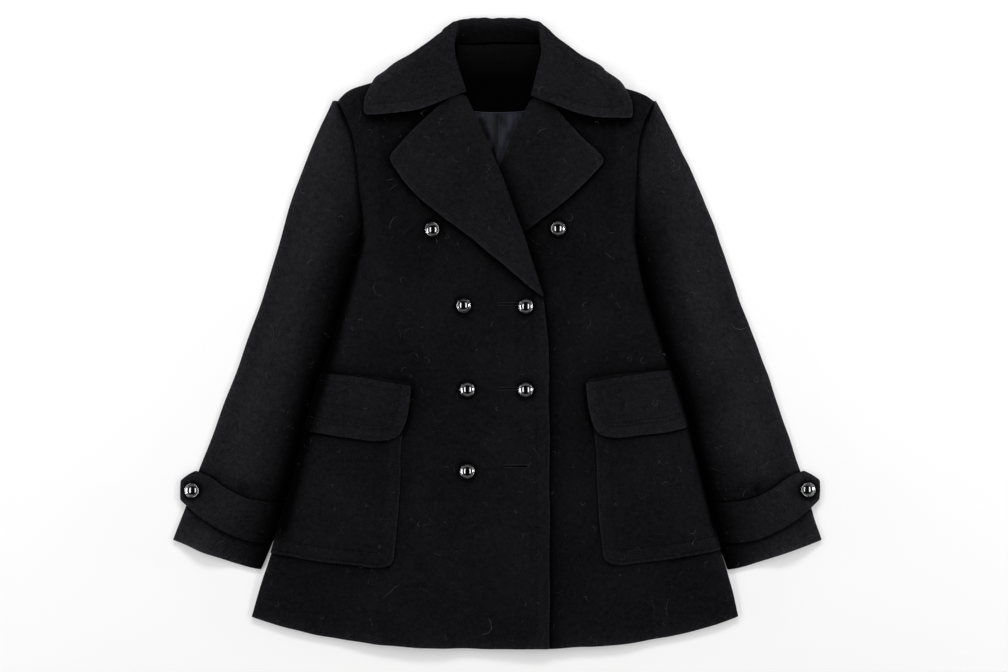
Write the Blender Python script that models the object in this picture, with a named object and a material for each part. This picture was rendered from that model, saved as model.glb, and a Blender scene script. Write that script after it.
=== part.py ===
"""Double-breasted wool overcoat, buttoned and laid flat, face up.

X runs across the coat, +Y from the hem to the collar, +Z up from the surface it lies on.
Right and left are the wearer's: the wearer's right side is at -X, and its front laps on top.
Every cloth piece is a wall. Its outline comes from four edge curves, and its height from
the pieces below it. Tables are in millimetres, and MM turns them into metres.
"""

import math

import bmesh
import bpy
from mathutils import Vector

MM = 0.001

# --- cloth walls, in millimetres -------------------------------------------
BACK_WALL = 2.6        # heavy melton wool
SLEEVE_WALL = 2.4
FRONT_WALL = 3.4       # wool with its facing
LAPEL_WALL = 3.2
COLLAR_WALL = 3.0
POCKET_WALL = 2.4
FLAP_WALL = 3.2
STRAP_WALL = 2.8
FACING_WALL = 1.4
LINING_WALL = 1.0
SEAM_GAP = 0.3         # between pieces sewn face to face
BED = 0.7              # clearance between layers that lie on each other
POCKET_BED = 0.9       # clearance below a pocket and below its flap
STRAP_BED = 1.3        # clearance below a cuff strap
LAPEL_BED = 1.6        # clearance below a lapel, which springs a little
LINED_BED = 2.4        # clearance between front and back, where the lining lies

# --- main places, in millimetres -------------------------------------------
SHOULDER_Y = 295.0
UNDERARM_Y = 118.0
HEM_LOW_Y = -401.0     # lowest point of the hem
HEM_RISE = 41.0        # how far the hem curves up at the side seams
HEM_MIDDLE_X = 2.0
HEM_HALF = (316, 304)  # distances from the origin at which it has risen, right and left
HEM_BEND = 2.8         # how late the rise comes: 2 is an even bow, more is flatter
NECK_SEAM_Y = 369.0
FACING_END_Y = 284.0
LINING_END_Y = 192.0
SLEEVE_HEAD_Y = 296.0
SLEEVE_CROWN = 10.0    # how far the top sleeve stands off the under sleeve
HEAD_PUFF = 4.5        # how much more it stands off at the sleeve head
ARMHOLE_TUCK = 5.0     # sleeve head that lies under the armhole edge
CROWN_RISE = 0.32      # share of the sleeve's width over which the crown rises
CROWN_FALL = (0.34, 0.40)   # share where it starts to fall, and over which it falls
CROWN_AT_HEAD = 0.55   # share of the crown at the sleeve head
CROWN_FULL = 0.25      # share of the sleeve's length from where the crown is whole
PUFF_FALL = (0.1, 0.24)     # share of the length where the head's puff starts to fall
PUFF_START = (1, 15)   # distance from the body's edge where it starts, and its run
BACK_INSET = 1.5       # how much smaller the back is than the fronts that lie on it

# the collar under the back lifts it: height, then lowest y, run, half width and side run
NECK_LIFT = 3.8
NECK_LIFT_UP = (215, 105)
NECK_LIFT_OUT = (125, 80)

# soft waves of the fronts: least and added depth, where it starts and its run, the length of
# a wave across and along, its start, and how far from the middle it fades, over which run
RIPPLE_DEPTH = (0.5, 1.5)
RIPPLE_DOWN = (60, 380)
RIPPLE_LENGTH = (37, 260)
RIPPLE_START = 0.6
RIPPLE_OUT = (330, 90)
SIDE_CLOSING = 45.0    # width over which front and back come together at the side

# where the upper front climbs over the lower front and the lower lapel: how far before its
# edge, and over which run; then the slope of the lapel's edge and the two shares that turn
# a distance along x or y into one square to the edge
CLIMB_FRONT = (72, 64)
CLIMB_LAPEL = (58, 52)
LAPEL_SLOPE = 0.76
SQUARE_TO_FRONT = 0.9
SQUARE_TO_LAPEL = 0.8

# the blunt foot of a lapel: how much nearer the middle its last corner is, and how much lower
LAPEL_FOOT = (0.98, 1.5)

# --- outline tables, in millimetres ----------------------------------------
# armhole seam and side edge of the body: y, wearer's right x, wearer's left x
SIDE_EDGE = [
    (295, -206, 196),
    (262, -190, 180),
    (226, -183, 174),
    (195, -179, 173),
    (150, -175, 172),
    (118, -174, 172),
    (78, -187, 177),
    (41, -197, 188),
    (-32, -220, 212),
    (-105, -243, 236),
    (-168, -258, 249),
    (-242, -279, 270),
    (-297, -297, 287),
    (-327, -306, 295),
    (-360, -316, 304),
]

# folded shoulder edge of one side: distance from the middle, y
SHOULDER_EDGE = [(206, 295), (193, 308), (164, 318), (120, 333), (76, 347)]

# neck edge and free edge of the upper front, then of the lower front: x, y
UPPER_FRONT_EDGE = [
    (-76, 347), (-70, 325), (-60, 303), (-48, 284), (-30, 262), (-10, 230), (0, 206),
    (17, 162), (29, 130), (55, 47), (60, 10), (62, -40), (63, -200), (63, -401),
]
LOWER_FRONT_EDGE = [
    (72, 347), (66, 325), (56, 303), (46, 284), (30, 265), (8, 234), (-4, 206),
    (-22, 162), (-38, 124), (-69, 55), (-74, 20), (-75, -20), (-75, -200), (-75, -399),
]

# height of the body's side edge above the surface, over the sleeve: y, height
TUCK_HEIGHT = [
    (300, 6.9), (118, 6.6), (50, 8.4), (-140, 9.4), (-195, 11.2), (-255, 10.2), (-310, 3.4),
    (-370, 0),
]
# y, width of sleeve that lies under the body, width over which the body comes down again
TUCK_REACH = [
    (300, 7, 20), (118, 7, 24), (90, 15, 45), (60, 25, 70), (30, 35, 90), (-370, 35, 90),
]

# outer edge of the sleeves: y, wearer's right x, wearer's left x
SLEEVE_OUTER = [
    (296, -213, 199),
    (262, -229, 216),
    (170, -265, 260),
    (59, -297, 299),
    (-68, -343, 346),
    (-173, -382, 381),
    (-262, -416, 409),
]

# seam edge of the sleeves below the underarm: y, then how far it lies under the body's
# side edge, on the wearer's right and left; a negative tuck lies beside the body
SLEEVE_SEAM = [
    (95, 5, 5),
    (74, 6, 6),
    (40, 13, 13),
    (-10, 20, 20),
    (-85, 27, 27),
    (-160, 22, 22),
    (-222, 6, 9),
    (-248, 0, 3),
    (-272, -4, -1),
    (-300, -6.5, -1.2),
]

# hem of one cuff, from the outer corner: share of its width, y
CUFF_HEM = [(0, -262), (0.37, -279), (0.62, -289), (0.84, -297), (1, -300)]

# turned lapels of one side, from the middle of the coat: x, y
UPPER_LAPEL = {
    "roll": [
        (-43.6, 305.4), (-33, 284), (-22, 257), (-10, 230), (0, 206), (17, 162), (29, 130),
        (55, 47),
    ],
    "top": [
        (-43.6, 305.4), (-54, 302), (-63, 299), (-71, 295.6), (-84, 284), (-113, 256),
        (-143, 224),
    ],
    "edge": [(-143, 224), (-121, 190), (-93, 163), (-50, 131), (-20, 107), (18, 75), (55, 47)],
}
LOWER_LAPEL = {
    "roll": [
        (39.6, 300.4), (31, 284), (20, 258), (8, 234), (-4, 206), (-22, 162), (-38, 124),
        (-69, 55),
    ],
    "top": [
        (39.6, 300.4), (50, 297), (59, 294), (67, 290.6), (78, 277), (105, 249), (135, 220),
    ],
    "edge": [(135, 220), (113, 195), (86, 171), (37, 133), (-16, 95), (-69, 55)],
}

# cuts across the collar of one side, from the centre back to the front end.
# Each has five places: neck seam, roll line, top of the fall, its turn and its outer edge.
# A place is distance from the middle, y, height; None stands for lying on the front.
COLLAR_CUTS = [
    ((0, 370.5, 8.0), (0, 392, 10.5), (0, 400, 6.0), (0, 388, 1.8), (0, 335, 1.8)),
    ((24, 370, 8.0), (24, 392, 10.5), (25, 400, 6.0), (26, 388, 1.8), (28, 335, 1.8)),
    ((47, 369, 8.0), (50, 389, 14.5), (58, 396, 8.0), (57, 386, 1.8), (56, 337, 1.8)),
    ((59, 366, 8.0), (56, 376, 20.5), (72, 378, 15.0), (85, 373, 5.5), (79, 345, 1.8)),
    ((62, 352, 8.0), (56, 354, 23.0), (86, 357, 18.5), (112, 353, 8.0), (105, 343, 1.8)),
    ((60, 334, 8.0), (51, 336, 23.0), (90, 341, 18.5), (133, 342, 14.0), (147, 335, None)),
    ((55, 317, 9.0), (45, 317, 21.5), (88, 323, 18.0), (136, 325, None), (162, 315, None)),
    ((53, 312.5, 9.6), (43, 311.5, 19.0), (82, 309.5, 17.2), (130, 301, None), (170, 296, None)),
    ((50.5, 309, 10.0), (41.8, 306.6, 17.0), (69, 297, 16.2), (113, 281, None), (170, 278, None)),
]
LEFT_WING_DROP = 5.0   # the wearer's left wing lies this much lower
WING_DROP_OUT = (60, 100)   # where its outer part starts to drop, and over which distance
WING_DROP_Y = (330, 20)     # the same for its front end
LEFT_TURN_NARROWER = 8.0   # and turns over this much nearer to the middle at the top
TURN_OUT = (52, 10)         # from where outwards that holds, and over which distance it starts
TURN_Y = (325, 65)          # and the same upwards
COLLAR_MIDDLE_X = -2.0

# patch pocket and flap of one side: distance from the middle, y
POCKET = {
    "top": [(112, -60), (150, -54), (190, -50), (221, -48)],
    "inner": [(112, -60), (123, -133), (125, -190), (129, -250), (133, -284)],
    "hem": [(133, -284), (136, -291), (145, -296), (200, -291), (240, -285), (281, -276)],
}
FLAP = {
    "top": [(110, -64), (150, -58), (185, -52), (221, -49)],
    "inner": [(110, -64), (114, -97), (120, -119), (127, -129)],
    "hem": [(127, -129), (137, -134), (156, -135), (187, -130), (220, -126), (246, -121)],
}
POCKET_MIDDLE_X = -2.0
POCKET_DROP = 2.0      # the wearer's right pocket lies lower, and the left one higher
POCKET_PROUD = 1.2     # pocket and flap stand out of the body's edge by this
CORNER_DRAW = 1.5      # how strongly their grid is drawn to the rounded corner

# cuff strap of one side: distance from the middle, y
STRAP = {
    "upper": [(386, -174), (368, -182), (347, -197), (322, -209), (301, -214), (271, -217)],
    "lower": [(398, -220), (378, -236), (357, -248), (331, -261), (305, -266), (293, -266)],
    "tip": [(386, -174), (404, -183), (406.5, -187), (406.5, -211), (404.5, -215), (398, -220)],
}
STRAP_DROOP = 3.0      # how far the free tip hangs
STRAP_DROOP_RUN = (2, 16)   # distance past the sleeve where that starts, and its length
STRAP_END = 2.0        # how far from the sleeve's seam edge the strap ends

# buttons: node, x, y, what it is sewn to
BUTTONS = [
    ("button_1", -85, 132, "upper"),
    ("button_2", 74, 133, "lower"),
    ("button_3", -47, 35.5, "upper"),
    ("button_4", 33, 34.5, "upper"),
    ("button_5", -42, -71.5, "upper"),
    ("button_6", 33, -71.5, "upper"),
    ("button_7", -42, -175.5, "upper"),
]
# half outline of a button, from the foot of its shank: radius, height
BUTTON_PROFILE = [
    (0, 0), (2.6, 0), (2.6, 2.4), (8.0, 2.7), (9.2, 3.5), (8.8, 5.2), (5.6, 6.6), (0, 7.4),
]
BUTTON_SIDES = 14
BUTTON_REACH = 5.0     # how far around a button the slope of the cloth is taken
BUTTON_CLEAR = 0.75
CUFF_BUTTON = (391, -199)   # distance from the middle, y

SIDES = (("right", -1), ("left", 1))

WOOL = (0.012, 0.012, 0.014, 1)
SATIN = (0.025, 0.026, 0.045, 1)
FACING_BLACK = (0.004, 0.004, 0.005, 1)
BUTTON_GREY = (0.03, 0.03, 0.035, 1)


# --- small tools ------------------------------------------------------------

def smooth(value):
    """An even step from 0 to 1."""
    value = min(1.0, max(0.0, value))
    return value * value * (3.0 - 2.0 * value)


def from_table(table, key, column=1):
    """Value of a column at a key, straight between the rows of a table."""
    rows = sorted(table)
    if key <= rows[0][0]:
        return float(rows[0][column])
    for low, high in zip(rows, rows[1:]):
        if key <= high[0]:
            share = (key - low[0]) / (high[0] - low[0])
            return low[column] + (high[column] - low[column]) * share
    return float(rows[-1][column])


def along(points, share):
    """Point of a smooth curve through the points, at a share of its chord length."""
    knots = [0.0]
    for start, end in zip(points, points[1:]):
        knots.append(knots[-1] + max(math.dist(start, end), 1e-6))
    place = min(max(share, 0.0), 1.0) * knots[-1]
    index = 0
    while index < len(points) - 2 and place > knots[index + 1]:
        index += 1
    length = knots[index + 1] - knots[index]
    part = (place - knots[index]) / length

    def slope(at, axis):
        before = max(at - 1, 0)
        after = min(at + 1, len(points) - 1)
        return (points[after][axis] - points[before][axis]) / (knots[after] - knots[before])

    rise = part * part * (3 - 2 * part)
    lead = part * (1 - part) * (1 - part) * length
    trail = part * part * (part - 1) * length
    return tuple(
        points[index][axis] * (1 - rise) + points[index + 1][axis] * rise
        + slope(index, axis) * lead + slope(index + 1, axis) * trail
        for axis in range(len(points[0]))
    )


def patch(top, bottom, first, last):
    """Point inside four edge curves: u runs from first to last, v from top to bottom."""

    def point(u, v):
        across = [along(top, u)[i] * (1 - v) + along(bottom, u)[i] * v for i in (0, 1)]
        down = [along(first, v)[i] * (1 - u) + along(last, v)[i] * u for i in (0, 1)]
        corners = [
            (top[0][i] * (1 - u) + top[-1][i] * u) * (1 - v)
            + (bottom[0][i] * (1 - u) + bottom[-1][i] * u) * v
            for i in (0, 1)
        ]
        return [across[i] + down[i] - corners[i] for i in (0, 1)]

    return point


def drawn_to_corner(place):
    """The same patch, with its grid closer towards the corner of first edge and bottom."""
    return lambda u, v: place(u ** CORNER_DRAW, 1 - (1 - v) ** CORNER_DRAW)


def glide(points, place):
    """Point of a smooth curve through evenly counted points, at a place such as 2.5."""
    index = min(int(place), len(points) - 2)
    part = place - index
    before = points[max(index - 1, 0)]
    start = points[index]
    end = points[index + 1]
    after = points[min(index + 2, len(points) - 1)]
    rise = part * part * (3 - 2 * part)
    lead = part * (1 - part) * (1 - part) / 2
    trail = part * part * (part - 1) / 2
    return tuple(
        start[i] * (1 - rise) + end[i] * rise
        + (end[i] - before[i]) * lead + (after[i] - start[i]) * trail
        for i in range(len(start))
    )


def mirrored(points, side, middle=0.0):
    """Points given as distances from the middle, on the side named -1 or 1."""
    return [(middle + side * point[0],) + tuple(point[1:]) for point in points]


def hem_y(x):
    """Height of the hem curve at x."""
    right, left = HEM_HALF
    half = (HEM_MIDDLE_X + right) if x < HEM_MIDDLE_X else (left - HEM_MIDDLE_X)
    return HEM_LOW_Y + HEM_RISE * min(1.0, abs(x - HEM_MIDDLE_X) / half) ** HEM_BEND


def side_x(y, side):
    """Edge of the body at y on one side."""
    return from_table(SIDE_EDGE, y, 1 if side < 0 else 2)


# --- heights of the layers, in millimetres ----------------------------------

def tuck_lift(x, y):
    """How far the body is lifted by the sleeve that lies under its side."""
    side = -1 if x < 0 else 1
    inside = abs(side_x(y, side)) - abs(x)
    reach, slope = from_table(TUCK_REACH, y, 1), from_table(TUCK_REACH, y, 2)
    return from_table(TUCK_HEIGHT, y) * (1 - smooth((inside - reach) / slope))


def neck_lift(x, y):
    """How far the back is lifted by the collar that lies under it."""
    up = smooth((y - NECK_LIFT_UP[0]) / NECK_LIFT_UP[1])
    return NECK_LIFT * up * (1 - smooth((abs(x) - NECK_LIFT_OUT[0]) / NECK_LIFT_OUT[1]))


def back_under(x, y):
    """Underside of the back."""
    return tuck_lift(x, y) + neck_lift(x, y)


def back_top(x, y):
    """Upper side of the back."""
    return back_under(x, y) + BACK_WALL


def ripple(x, y):
    """Soft lengthwise waves of the fronts, deeper towards the hem."""
    depth = RIPPLE_DEPTH[0] + RIPPLE_DEPTH[1] * smooth((RIPPLE_DOWN[0] - y) / RIPPLE_DOWN[1])
    wave = 1 + math.sin(x / RIPPLE_LENGTH[0] + y / RIPPLE_LENGTH[1] + RIPPLE_START)
    return depth * wave * smooth((RIPPLE_OUT[0] - abs(x)) / RIPPLE_OUT[1])


def lined_bed(x, y):
    """Clearance between back and front: less along the side edge."""
    side = -1 if x < 0 else 1
    inside = abs(side_x(y, side)) - abs(x)
    return BED + (LINED_BED - BED + ripple(x, y)) * smooth(inside / SIDE_CLOSING)


def lower_under(x, y):
    """Underside of the lower front."""
    return back_top(x, y) + lined_bed(x, y)


def lower_top(x, y):
    """Upper side of the lower front."""
    return lower_under(x, y) + FRONT_WALL


def lower_edge_x(y):
    """Free edge of the lower front at y."""
    return from_table([(point[1], point[0]) for point in LOWER_FRONT_EDGE], y)


def over_lower_front(x, y):
    """1 where the upper front lies on the lower one, falling to 0 beside it."""
    return smooth((x - lower_edge_x(y) + CLIMB_FRONT[0]) / CLIMB_FRONT[1])


def over_lower_lapel(x, y):
    """1 where the upper front lies on the lower lapel, falling to 0 beside it."""
    start_x, start_y = LOWER_LAPEL["roll"][-1]
    beside = (x - lower_edge_x(y)) * SQUARE_TO_FRONT
    above = (y - start_y - LAPEL_SLOPE * (x - start_x)) * SQUARE_TO_LAPEL
    return smooth((min(beside, above) + CLIMB_LAPEL[0]) / CLIMB_LAPEL[1])


def upper_under(x, y):
    """Underside of the upper front."""
    lap = (FRONT_WALL + BED) * over_lower_front(x, y)
    turned = (LAPEL_WALL + LAPEL_BED + BED) * over_lower_lapel(x, y)
    return lower_under(x, y) + lap + turned * over_lower_front(x, y)


def upper_top(x, y):
    """Upper side of the upper front."""
    return upper_under(x, y) + FRONT_WALL


def front_top(x, y, side):
    """Upper side of the front on one side of the coat."""
    return upper_top(x, y) if side < 0 else lower_top(x, y)


def sleeve_under(x, y):
    """Underside of the top sleeve: a soft crown, flat where the body lies on it."""
    side = -1 if x < 0 else 1
    outer, inner = sleeve_edges(side)
    outer_x = from_table([(point[1], point[0]) for point in outer], y)
    inner_x = from_table([(point[1], point[0]) for point in inner], y)
    across = (outer_x - x) / (outer_x - inner_x)
    down = (SLEEVE_HEAD_Y - y) / (SLEEVE_HEAD_Y - CUFF_HEM[-1][1])
    rise = smooth(across / CROWN_RISE)
    crown = SLEEVE_CROWN * rise * (1 - smooth((across - CROWN_FALL[0]) / CROWN_FALL[1]))
    crown *= CROWN_AT_HEAD + (1 - CROWN_AT_HEAD) * smooth(down / CROWN_FULL)
    beyond = abs(x) - abs(side_x(y, side))
    puff = HEAD_PUFF * rise * (1 - smooth((down - PUFF_FALL[0]) / PUFF_FALL[1]))
    puff *= smooth((beyond - PUFF_START[0]) / PUFF_START[1])
    return SLEEVE_WALL + SEAM_GAP + crown + puff


def sleeve_top(x, y):
    """Upper side of the top sleeve."""
    return sleeve_under(x, y) + SLEEVE_WALL


def strap_under(x, y):
    """Underside of the cuff strap, whose free tip hangs past the sleeve."""
    side = -1 if x < 0 else 1
    outer, _ = sleeve_edges(side)
    outer_x = from_table([(point[1], point[0]) for point in outer], y)
    outside = abs(x) - abs(outer_x)
    start, run = STRAP_DROOP_RUN
    return sleeve_top(x, y) + STRAP_BED - STRAP_DROOP * smooth((outside - start) / run)


# --- making the solids ------------------------------------------------------

def clear_scene():
    for item in list(bpy.data.objects):
        bpy.data.objects.remove(item, do_unlink=True)


def centre_on_origin():
    """Put the middle of the underside of the whole coat at the origin."""
    bpy.context.view_layer.update()
    depsgraph = bpy.context.evaluated_depsgraph_get()
    corners = [
        item.matrix_world @ Vector(corner)
        for item in (part.evaluated_get(depsgraph) for part in bpy.data.objects)
        for corner in item.bound_box
    ]
    low = Vector([min(corner[i] for corner in corners) for i in range(3)])
    high = Vector([max(corner[i] for corner in corners) for i in range(3)])
    middle = Vector(((low.x + high.x) / 2, (low.y + high.y) / 2, low.z))
    for item in bpy.data.objects:
        item.location -= middle


def make_material(name, colour, roughness, metallic=0.0):
    material = bpy.data.materials.new(name)
    material.use_nodes = True
    shader = material.node_tree.nodes["Principled BSDF"]
    shader.inputs["Base Color"].default_value = colour
    shader.inputs["Roughness"].default_value = roughness
    shader.inputs["Metallic"].default_value = metallic
    material.diffuse_color = colour
    return material


def add_object(name, bm, material, round_piece=False):
    bmesh.ops.recalc_face_normals(bm, faces=bm.faces[:])
    mesh = bpy.data.meshes.new(name)
    bm.to_mesh(mesh)
    bm.free()
    mesh.materials.append(material)
    if round_piece:
        mesh.shade_smooth()
        mesh.set_sharp_from_angle(angle=math.radians(40))
    item = bpy.data.objects.new(name, mesh)
    bpy.context.scene.collection.objects.link(item)
    return item


def cloth_wall(name, place, height, wall, cells, material):
    """A wall of cloth: place gives x and y, height the underside, and wall its thickness."""
    bm = bmesh.new()
    bmesh.ops.create_grid(bm, x_segments=cells[0], y_segments=cells[1], size=0.5)
    for vertex in bm.verts:
        u = vertex.co.x + 0.5
        v = 0.5 - vertex.co.y
        x, y = place(u, v)
        vertex.co = Vector((x, y, height(x, y, u, v) + wall)) * MM
    raised = bmesh.ops.extrude_face_region(bm, geom=bm.faces[:])
    under = [part for part in raised["geom"] if isinstance(part, bmesh.types.BMVert)]
    bmesh.ops.translate(bm, verts=under, vec=(0, 0, -wall * MM))
    return add_object(name, bm, material)


def on(surface, lift=0.0):
    """Height of what lies on a surface."""
    return lambda x, y, u, v: surface(x, y) + lift


# --- the pieces -------------------------------------------------------------

def side_curve(side, inset=0.0):
    """Armhole and side edge of the body, from the shoulder to the hem."""
    column = 1 if side < 0 else 2
    points = [(row[column] - side * inset, float(row[0])) for row in SIDE_EDGE]
    points[-1] = (points[-1][0], hem_y(points[-1][0]))
    return points


def hem_curve(start_x, end_x, count=9):
    step = (end_x - start_x) / (count - 1)
    return [(start_x + step * i, hem_y(start_x + step * i)) for i in range(count)]


def shoulder_curve(side, inset=0.0):
    """Shoulder edge of one side, from the armhole to the neck."""
    width = abs(side_x(SHOULDER_Y, side))
    stretch = (width - inset) / SHOULDER_EDGE[0][0]
    drop = LEFT_WING_DROP if side > 0 else 0.0
    first, *others = SHOULDER_EDGE
    curve = [(side * first[0] * stretch, first[1] - inset)]
    return curve + [(side * x * stretch, y - inset - drop) for x, y in others]


def make_back(wool):
    right = side_curve(-1, BACK_INSET)
    left = side_curve(1, BACK_INSET)
    neck = [(0, NECK_SEAM_Y)]
    top = shoulder_curve(-1, BACK_INSET) + neck + shoulder_curve(1, BACK_INSET)[::-1]
    right[0] = top[0]
    left[0] = top[-1]
    hem = hem_curve(right[-1][0], left[-1][0], 13)
    place = patch(top, hem, right, left)
    cloth_wall("back", place, on(back_under), BACK_WALL, (14, 18), wool)


def make_fronts(wool):
    for name, side, edge, under in (
        ("front_left", 1, LOWER_FRONT_EDGE, lower_under),
        ("front_right", -1, UPPER_FRONT_EDGE, upper_under),
    ):
        outer = side_curve(side)
        inner = [tuple(map(float, point)) for point in edge]
        inner[-1] = (inner[-1][0], hem_y(inner[-1][0]))
        top = shoulder_curve(side)
        outer[0] = top[0]
        top[-1] = inner[0]
        hem = hem_curve(outer[-1][0], inner[-1][0])
        place = patch(top, hem, outer, inner)
        cloth_wall(name, place, on(under), FRONT_WALL, (12, 24), wool)


def make_lapels(wool):
    for name, shape, surface, bed in (
        ("lapel_left", LOWER_LAPEL, lower_top, BED),
        ("lapel_right", UPPER_LAPEL, upper_top, LAPEL_BED),
    ):
        end = shape["roll"][-1]
        foot = [end, (end[0] * LAPEL_FOOT[0], end[1] - LAPEL_FOOT[1])]
        edge = shape["edge"][:-1] + [foot[-1]]
        place = patch(shape["top"], foot, shape["roll"], edge)
        cloth_wall(name, place, on(surface, bed), LAPEL_WALL, (10, 9), wool)


def sleeve_edges(side):
    """Outer edge and seam edge of a sleeve, from the shoulder to the cuff."""
    column = 1 if side < 0 else 2
    outer = [(row[column], float(row[0])) for row in SLEEVE_OUTER]
    armhole = [
        (row[column] - side * ARMHOLE_TUCK, float(row[0]))
        for row in SIDE_EDGE if row[0] >= UNDERARM_Y
    ]
    seam = [
        (side_x(row[0], side) - side * row[column], float(row[0])) for row in SLEEVE_SEAM
    ]
    return outer, armhole + seam


def make_sleeves(wool):
    for label, side in SIDES:
        outer, inner = sleeve_edges(side)
        top = [outer[0], inner[0]]
        width = inner[-1][0] - outer[-1][0]
        cuff = [(outer[-1][0] + width * share, y) for share, y in CUFF_HEM]
        place = patch(top, cuff, outer, inner)
        floor = on(lambda x, y: 0.0)
        cloth_wall("sleeve_under_" + label, place, floor, SLEEVE_WALL, (4, 18), wool)
        cloth_wall("sleeve_top_" + label, place, on(sleeve_under), SLEEVE_WALL, (10, 18), wool)


def make_cuff_straps(wool):
    for label, side in SIDES:
        upper = mirrored(STRAP["upper"], side)
        lower = mirrored(STRAP["lower"], side)
        tip = mirrored(STRAP["tip"], side)
        seam = [(point[1], point[0]) for point in sleeve_edges(side)[1]]
        upper[-1] = (from_table(seam, upper[-1][1]) + STRAP_END * side, upper[-1][1])
        lower[-1] = (from_table(seam, lower[-1][1]) + STRAP_END * side, lower[-1][1])
        end = [upper[-1], lower[-1]]
        place = patch(upper, lower, tip, end)
        cloth_wall("cuff_strap_" + label, place, on(strap_under), STRAP_WALL, (10, 5), wool)


def make_pockets(wool):
    for label, side in SIDES:
        for name, shape, wall, lift, cells in (
            ("pocket_", POCKET, POCKET_WALL, POCKET_BED, (8, 10)),
            ("flap_", FLAP, FLAP_WALL, 2 * POCKET_BED + POCKET_WALL, (8, 4)),
        ):
            top, hem, inner = (
                [(x, y + side * POCKET_DROP) for x, y in mirrored(shape[edge], side, POCKET_MIDDLE_X)]
                for edge in ("top", "hem", "inner")
            )
            ends = top[-1][1], hem[-1][1]
            outer = [
                (side_x(y, side) + side * POCKET_PROUD, y)
                for y in (ends[0] + (ends[1] - ends[0]) * share / 4 for share in range(5))
            ]
            top[-1] = outer[0]
            hem[-1] = outer[-1]
            place = drawn_to_corner(patch(top, hem, inner, outer))
            surface = lambda x, y, side=side: front_top(x, y, side)
            cloth_wall(name + label, place, on(surface, lift), wall, cells, wool)


def make_neck(black, satin):
    """Back neck facing, and the lining below it as far as the fronts leave it open."""
    top = [(-54, 367), (-2, 367.5), (50, 367)]
    bottom = [(-46, FACING_END_Y), (42, FACING_END_Y)]
    first = [top[0], (-54, 330), bottom[0]]
    last = [top[-1], (50, 330), bottom[-1]]
    surface = on(back_top, SEAM_GAP)
    cloth_wall("neck_facing", patch(top, bottom, first, last), surface, FACING_WALL, (6, 6), black)
    top = [(-50, FACING_END_Y - SEAM_GAP), (46, FACING_END_Y - SEAM_GAP)]
    bottom = [(-30, LINING_END_Y), (26, LINING_END_Y)]
    place = patch(top, bottom, [top[0], bottom[0]], [top[-1], bottom[-1]])
    cloth_wall("lining", place, on(back_top, BED), LINING_WALL, (6, 6), satin)


def collar_point(cut_point, side):
    """A place of a collar cut, put on its side, resting on the front where it lies."""
    out, y, z = cut_point
    x = COLLAR_MIDDLE_X + side * out
    if side > 0:
        turned = smooth((out - TURN_OUT[0]) / TURN_OUT[1])
        x -= LEFT_TURN_NARROWER * turned * smooth((y - TURN_Y[0]) / TURN_Y[1])
        outer_part = smooth((out - WING_DROP_OUT[0]) / WING_DROP_OUT[1])
        front_part = smooth((WING_DROP_Y[0] - y) / WING_DROP_Y[1])
        y -= LEFT_WING_DROP * max(outer_part, front_part)
    if z is None:
        z = front_top(x, y, side) + COLLAR_WALL / 2 + LAPEL_BED
    return (x, y, z)


def make_collar(wool):
    """Stand and fall in one: a sheet through the cuts, given its thickness both ways."""
    right = [[collar_point(point, -1) for point in cut] for cut in COLLAR_CUTS[:0:-1]]
    left = [[collar_point(point, 1) for point in cut] for cut in COLLAR_CUTS]
    cuts = right + left
    last_cut = len(cuts) - 1
    steps = 32
    across = 8
    bm = bmesh.new()
    bmesh.ops.create_grid(bm, x_segments=steps, y_segments=across, size=0.5)
    for vertex in bm.verts:
        station = (vertex.co.x + 0.5) * last_cut
        cut = [glide([row[i] for row in cuts], station) for i in range(len(cuts[0]))]
        x, y, z = glide(cut, (vertex.co.y + 0.5) * (len(cut) - 1))
        vertex.co = Vector((x, y, max(z, COLLAR_WALL / 2 + SEAM_GAP))) * MM
    bmesh.ops.triangulate(bm, faces=bm.faces[:], quad_method="SHORT_EDGE")
    collar = add_object("collar", bm, wool)
    wall = collar.modifiers.new("wall", "SOLIDIFY")
    wall.thickness = COLLAR_WALL * MM
    wall.offset = 0.0
    wall.use_even_offset = False
    return collar


def button_mesh():
    """A domed shank button, turned about its own axis, resting on its shank."""
    bm = bmesh.new()
    points = [bm.verts.new((radius * MM, 0, height * MM)) for radius, height in BUTTON_PROFILE]
    edges = [bm.edges.new(pair) for pair in zip(points, points[1:])]
    bmesh.ops.spin(
        bm, geom=points + edges, axis=(0, 0, 1), cent=(0, 0, 0),
        angle=2 * math.pi, steps=BUTTON_SIDES, use_merge=True,
    )
    bmesh.ops.remove_doubles(bm, verts=bm.verts[:], dist=1e-6)
    return bm


def add_button(name, x, y, surface, material):
    """Sew a button on a surface, square to it."""
    reach = BUTTON_REACH
    slope_x = (surface(x + reach, y) - surface(x - reach, y)) / (2 * reach)
    slope_y = (surface(x, y + reach) - surface(x, y - reach)) / (2 * reach)
    normal = Vector((-slope_x, -slope_y, 1)).normalized()
    turn = Vector((0, 0, 1)).rotation_difference(normal)
    button = add_object(name, button_mesh(), material, round_piece=True)
    button.rotation_euler = turn.to_euler()
    button.location = (Vector((x, y, surface(x, y))) + normal * BUTTON_CLEAR) * MM
    return button


def make_buttons(material):
    for name, x, y, carrier in BUTTONS:
        surface = upper_top if carrier == "upper" else lower_top
        add_button(name, x, y, surface, material)
    out, y = CUFF_BUTTON
    strap_top = lambda x, y: strap_under(x, y) + STRAP_WALL
    for label, side in SIDES:
        add_button("cuff_button_" + label, side * out, y, strap_top, material)


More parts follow.
